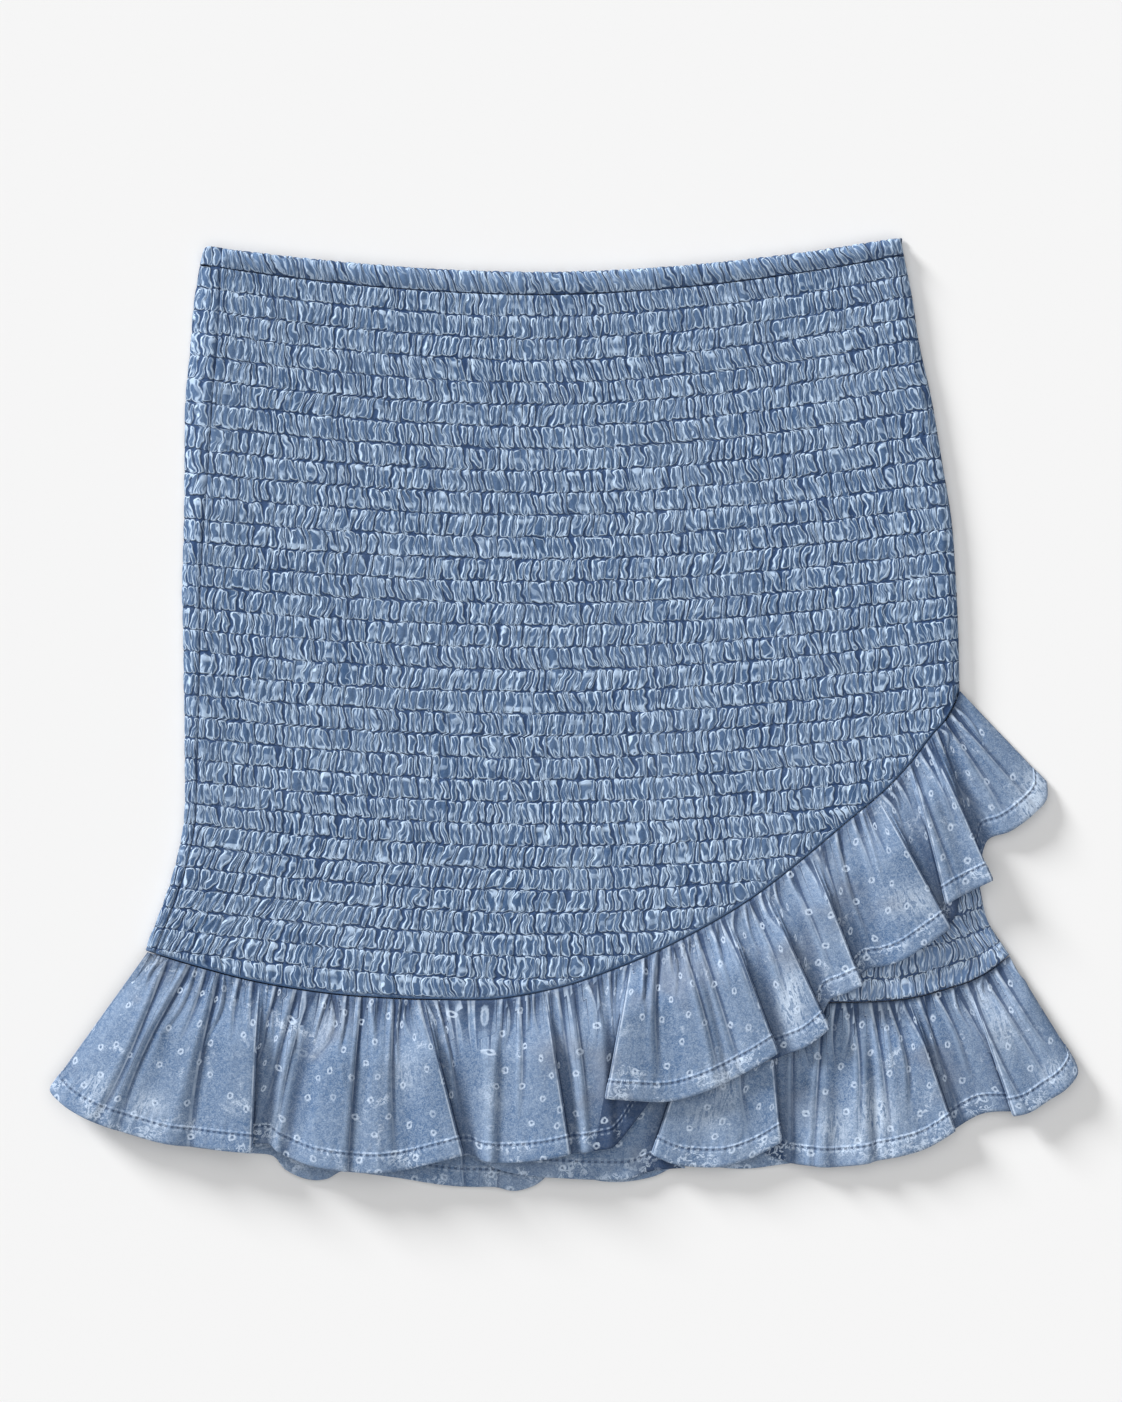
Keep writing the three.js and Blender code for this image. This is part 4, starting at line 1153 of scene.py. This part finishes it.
def shirred_gathers():
    """The fine shape of each gather: a crumpled puff with rubbed pale edges and a dark crease round it,
    which is painted shade, and elastic thread stitched along each line. Its vector counts puffs
    across and rows down."""
    tree, given, out = new_group(
        "shirred_gathers", {"Gather": "Vector", "Place": "Vector", "Plain": "Float"}, DRAWN)
    where = given["Place"]
    puffs, rows, _ = parts("XYZ", given["Gather"])
    wide, fine = noises(where, 110), noises(where, 300)
    u = puffs + (wide[0] - 0.5) * 1.2 + (fine[0] - 0.5) * 0.55
    v = rows + (wide[1] - 0.5) * 0.08 + (fine[1] - 0.5) * 0.14
    cell, row = calc("FLOOR", u), calc("FLOOR", v)
    x = (u - cell - 0.5) * PUFF_WIDTH
    y = (v - row - 0.5) * ROW_PITCH
    shifted, turned, tall, _ = chances(cell, row)
    open_crease = chances(calc("ROUND", u), row + 0.5)[3]
    half_width = open_crease.between(0.42, 0.66, PUFF_WIDTH / 2, PUFF_WIDTH / 2 - WIDE_CREASE)
    half_height = tall.between(0, 1, 3.9, 4.9)
    x = x + (y * turned.between(0, 1, -0.13, 0.13) + turned.between(0, 1, 0.16, -0.16))
    off_y = abs(y + shifted.between(0, 1, 0.3, -0.3))
    qx = abs(x) - half_width + PUFF_CORNER
    qy = off_y - half_height + PUFF_CORNER
    px, py = qx.at_least(0.0), qy.at_least(0.0)
    from_edge = calc("SQRT", px * px + py * py) + qx.at_least(qy).at_most(0.0) - PUFF_CORNER
    edge = from_edge.around(-0.06, 0.11, 0.25) * noise(where, 260, 1).between(0.36, 0.52, 0.3, 1.0)
    crumple = noise(joined(u * 1.25, v * 0.6 + row * 7.3), 1.7, 0)
    stroke = crumple.around(0.5, 0.03, 0.05) * from_edge.below(-0.34, -0.14)
    stroke = stroke * off_y.between(0.8, 3.0, 0.45, 1.0)
    to_thread = ROW_PITCH / 2 - abs(y)
    dashes = noise(joined(u * 2.1, row), 1.0, 1).between(0.47, 0.64, 0.08, 0.85)
    thread = to_thread.below(0.1, 0.42) * dashes
    fleck = noise(where, 1100, 1).between(0.56, 0.68) * to_thread.around(0.75, 0.2, 0.3)
    shown = 1.0 - given["Plain"]
    light = (edge + stroke * 0.75 + fleck * 0.6).at_most(1.0)
    # Dark: painted shade in the crease round each puff, and the elastic thread
    deep = (from_edge.between(0.08, 0.34) * 0.7).at_least(thread)
    high = from_edge.between(0.5, -0.25) + light * 0.4 - thread * 0.5
    for label, value in (("Light", light), ("Deep", deep), ("Height", high)):
        feed(out[label], value * shown)
    return tree


def ruffled_cloth():
    """The fine folds that fan out from the gathered seam, hair lines all over, and rubbed patches."""
    tree, given, out = new_group(
        "ruffled_cloth", {"Cloth": "Vector", "Place": "Vector", "Rubbed": "Float"}, DRAWN)
    cloth, where = given["Cloth"], given["Place"]
    near_seam = parts("XYZ", cloth)[1].between(50 * MM, 76 * MM)
    folds = noise(stretched(cloth, (150, 14, 1)), 1.0, 1.0, 0.5, 0.25)
    hair = noise(where, 560, 1, 0.5, 1.6).around(0.5, 0.03, 0.05)
    dark_hair = noise(stretched(where, (1, 1, 1), 0.8), 640, 1, 0.5, 1.2).around(0.5, 0.03, 0.05)
    patch = noise(where, 62, 4, 0.7, 0.6).between(0.55, 0.7)
    marks = noise(where, 380, 2, 0.62, 1.6).around(0.54, 0.045, 0.04)
    strokes = noise(stretched(cloth, (420, 130, 1)), 1.0, 2, 0.6, 0.8).around(0.5, 0.05, 0.06)
    rubbed = given["Rubbed"] * (strokes * 0.8 + 0.12)
    scuff = (patch * (marks * 0.65 + 0.08)).at_least(rubbed)
    feed(out["Light"], scuff + hair * 0.26)
    feed(out["Deep"], dark_hair * 0.24)
    feed(out["Height"], folds.between(0.44, 0.56) * near_seam)
    return tree


def ring_print():
    """Small rings with a dark middle, printed in a loose drop repeat; some have washed away."""
    tree, given, out = new_group("ring_print", {"Cloth": "Vector"}, {"Ring": "Float", "Dot": "Float"})
    cloth = given["Cloth"]
    ragged = fill(tree.nodes.new("ShaderNodeTexNoise"), {"Vector": cloth, "Scale": 520})
    wobble = tree.nodes.new("ShaderNodeVectorMath")
    wobble.operation = "MULTIPLY_ADD"
    fill(wobble, {0: Value(ragged.outputs["Color"]), 1: (1.6 * MM, 1.6 * MM, 0), 2: cloth})
    spots = tree.nodes.new("ShaderNodeTexVoronoi")
    spots.voronoi_dimensions = "2D"
    place_of = stretched(Value(wobble.outputs[0]), (1, 1.08, 1), 0.6)
    fill(spots, {"Vector": place_of, "Scale": RINGS_PER_METRE, "Randomness": 0.5})
    far = Value(spots.outputs["Distance"])
    kept = parts("Color", Value(spots.outputs["Color"]))[0].between(0.22, 0.45, 0.05, 1.0)
    fade = noise(cloth, 900, 2).between(0.34, 0.56, 0.45, 1.0)
    feed(out["Ring"], far.between(0.04, 0.07) * far.below(0.115, 0.15) * kept * fade)
    feed(out["Dot"], far.below(0.04, 0.075) * kept)
    return tree


def new_material(name):
    material = bpy.data.materials.new(name)
    material.use_nodes = True
    surface = material.node_tree.nodes["Principled BSDF"]
    fill(surface, {"Roughness": 0.88, "Specular IOR Level": 0.1, "Sheen Weight": 0.02,
                   "Sheen Roughness": 0.5})
    source = material.node_tree.nodes.new("ShaderNodeTexCoord").outputs
    return material, surface, Value(source["UV"]), Value(source["Object"])


def bump(surface, height, strength, distance):
    node = height.tree.nodes.new("ShaderNodeBump")
    fill(node, {"Strength": strength, "Distance": distance * MM, "Height": height})
    feed(surface.inputs["Normal"], Value(node.outputs["Normal"]))


def shirred_cotton(name, blue, pale=PALE_BLUE):
    material, surface, gather, where = new_material(name)
    tree = material.node_tree
    drawn = use_group(tree, gathers_drawn, Gather=gather, Place=where, Plain=attribute(tree, "plain"))
    # Dark: painted shade in the gathers' creases and along seams, with the elastic thread
    deep = drawn["Deep"].at_least(attribute(tree, "deep"))
    washed = use_group(tree, wash, Place=where, Blue=blue, Pale=pale, Dark=SHADE_AND_THREAD_BLUE, Cloud=0.16,
                       Light=drawn["Light"], Deep=deep)
    feed(surface.inputs["Base Color"], washed["Color"])
    bump(surface, drawn["Height"] + washed["Height"] * 0.25, 0.8, 0.8)
    return material


def ruffle_cotton(name, blue, pale, dark, grey):
    """Cotton with drawn fold lines in painted highlight and painted shade, more painted highlight and
    shade from the ruffle's attributes, rubbed and stained places, rings, and a stitched hem.
    """
    material, surface, cloth, where = new_material(name)
    tree = material.node_tree
    drawn = use_group(tree, folds_drawn, Cloth=cloth, Place=where, Rubbed=attribute(tree, "rubbed"))
    fold, clear = attribute(tree, "fold"), attribute(tree, "clear")
    # Fold lines: rim is painted highlight on the crest of each fold, broken in places; line and shade
    # are painted shade beside it
    rim_breaks = noise(where, 210, 2).between(0.36, 0.56, 0.35, 1.0)
    rim = fold.around(-0.55, 0.18, 0.37) * clear * rim_breaks
    line = fold.around(0.35, 0.4, 0.45) * 0.95
    shade = fold.between(-0.1, 0.2) * fold.between(0.2, 4.0, 0.6, 0)
    # Pale: rubbed places and hairs of the cloth, with painted highlight from the ruffle's shape and on
    # fold crests
    light = drawn["Light"].at_least(attribute(tree, "painted_highlight") * 0.2).at_least(rim * 0.75)
    # Dark: dark hairs of the cloth, with painted shade from the ruffle's deep attribute and beside the
    # fold lines
    deep = drawn["Deep"].at_least(attribute(tree, "deep") * 0.66).at_least(line.at_least(shade) * clear)
    washed = use_group(tree, wash, Place=where, Blue=blue, Pale=pale, Dark=dark, Cloud=0.3,
                       Light=light, Deep=deep)
    stain = noise(where, 24, 3, 0.6).between(0.56, 0.7, 0.0, 0.4) * (1.0 - deep)
    color = blend(stain, washed["Color"], grey)
    printed = use_group(tree, rings, Cloth=cloth)
    color = blend(printed["Dot"] * 0.25, color, dark)
    color = blend(printed["Ring"] * 0.66, color, pale)
    along, from_hem, _ = parts("XYZ", cloth)
    marks = noise(where, 330, 2, 0.6, 1.4).around(0.58, 0.04, 0.03)
    marks = marks * noise(where, 70, 2).between(0.46, 0.6)
    in_band = from_hem.below(HEM_DEPTH * MM, (HEM_DEPTH + 0.6) * MM)
    color = blend(in_band * (marks * 0.6), color, pale)
    off_line = abs(from_hem - (HEM_DEPTH - STITCH_INSET) * MM)
    dash = calc("SINE", along * (2 * math.pi / (STITCH * MM)))
    pulls = off_line.around(1.1 * MM, 0.1 * MM, 0.5 * MM) * dash.between(0.3, -0.6)
    color = blend(pulls * 0.24, color, pale)
    thread = off_line.below(0.3 * MM, 0.7 * MM) * dash.between(-0.3, 0.3, 0.15, 1.0)
    color = blend(thread * 0.62, color, dark)
    feed(surface.inputs["Base Color"], color)
    bump(surface, drawn["Height"] + washed["Height"] * 0.3, 0.6, 0.8)
    return material


# Surroundings

def camera():
    away = PHOTO_HEIGHT * LENS / SENSOR
    middle = (PHOTO_MIDDLE[0] * MM, PHOTO_MIDDLE[1] * MM)
    bpy.ops.object.camera_add(location=middle + ((FACE_HEIGHT + away) * MM,))
    view = bpy.context.object
    view.data.lens = LENS
    view.data.sensor_width = SENSOR
    view.data.clip_end = 20
    bpy.context.scene.camera = view


def sun(place, power, size, turn=(0, 0, 0)):
    bpy.ops.object.light_add(type="SUN", location=place)
    light = bpy.context.object
    light.rotation_euler = turn
    light.data.energy = power
    light.data.angle = math.radians(size)


def surface_and_light():
    bpy.ops.object.select_all(action="DESELECT")
    bpy.ops.mesh.primitive_plane_add(size=8, location=(0, 0, -FLOOR_GAP * MM))
    floor = bpy.context.object
    floor.name = "floor"
    material, surface, _, where = new_material("pale_paper")
    fill(surface, {"Base Color": (0.86, 0.86, 0.86, 1), "Sheen Weight": 0})
    bump(surface, noise(where, 300, 2), 0.02, 0.1)
    floor.data.materials.append(material)
    sun((-1, 1, 1.5), SUN_POWER, SUN_SIZE, (0, math.radians(90 - SUN_RISE), math.radians(SUN_BEARING)))
    sun((0, 0, 2), TOP_POWER, TOP_SIZE)
    world = bpy.data.worlds.new("studio")
    world.use_nodes = True
    fill(world.node_tree.nodes["Background"], {"Color": (1, 1, 1, 1), "Strength": SKY_POWER})
    bpy.context.scene.world = world
    bpy.context.scene.view_settings.view_transform = "Standard"


camera()
wash = mineral_wash()
gathers_drawn = shirred_gathers()
folds_drawn = ruffled_cloth()
rings = ring_print()
body_blue = shirred_cotton("shirred_blue", srgb(59, 87, 124))
# A lighter copy of the body's cotton for the under front: painted light that lifts it out of the shade
# of the ruffles
lit_copy_blue = shirred_cotton("lit_copy_blue", srgb(92, 121, 162), srgb(212, 232, 255))
casing_blue = shirred_cotton("casing_blue", srgb(84, 112, 150))
# The ruffles' pale serves rubbed places, rings and painted highlight; their dark serves painted shade,
# dark hairs, ring middles and the hem thread
ruffle_blue = ruffle_cotton("ruffle_blue", srgb(84, 114, 152), srgb(208, 224, 243),
                            srgb(28, 48, 82), srgb(132, 134, 142))
front_wrap_panel(body_blue)
front_under_panel(lit_copy_blue)
back_panel(body_blue)
waist_casing_front(casing_blue)
waist_casing_back(casing_blue)
wrap_ruffle(ruffle_blue)
under_ruffle(ruffle_blue)
back_ruffle(ruffle_blue)
surface_and_light()
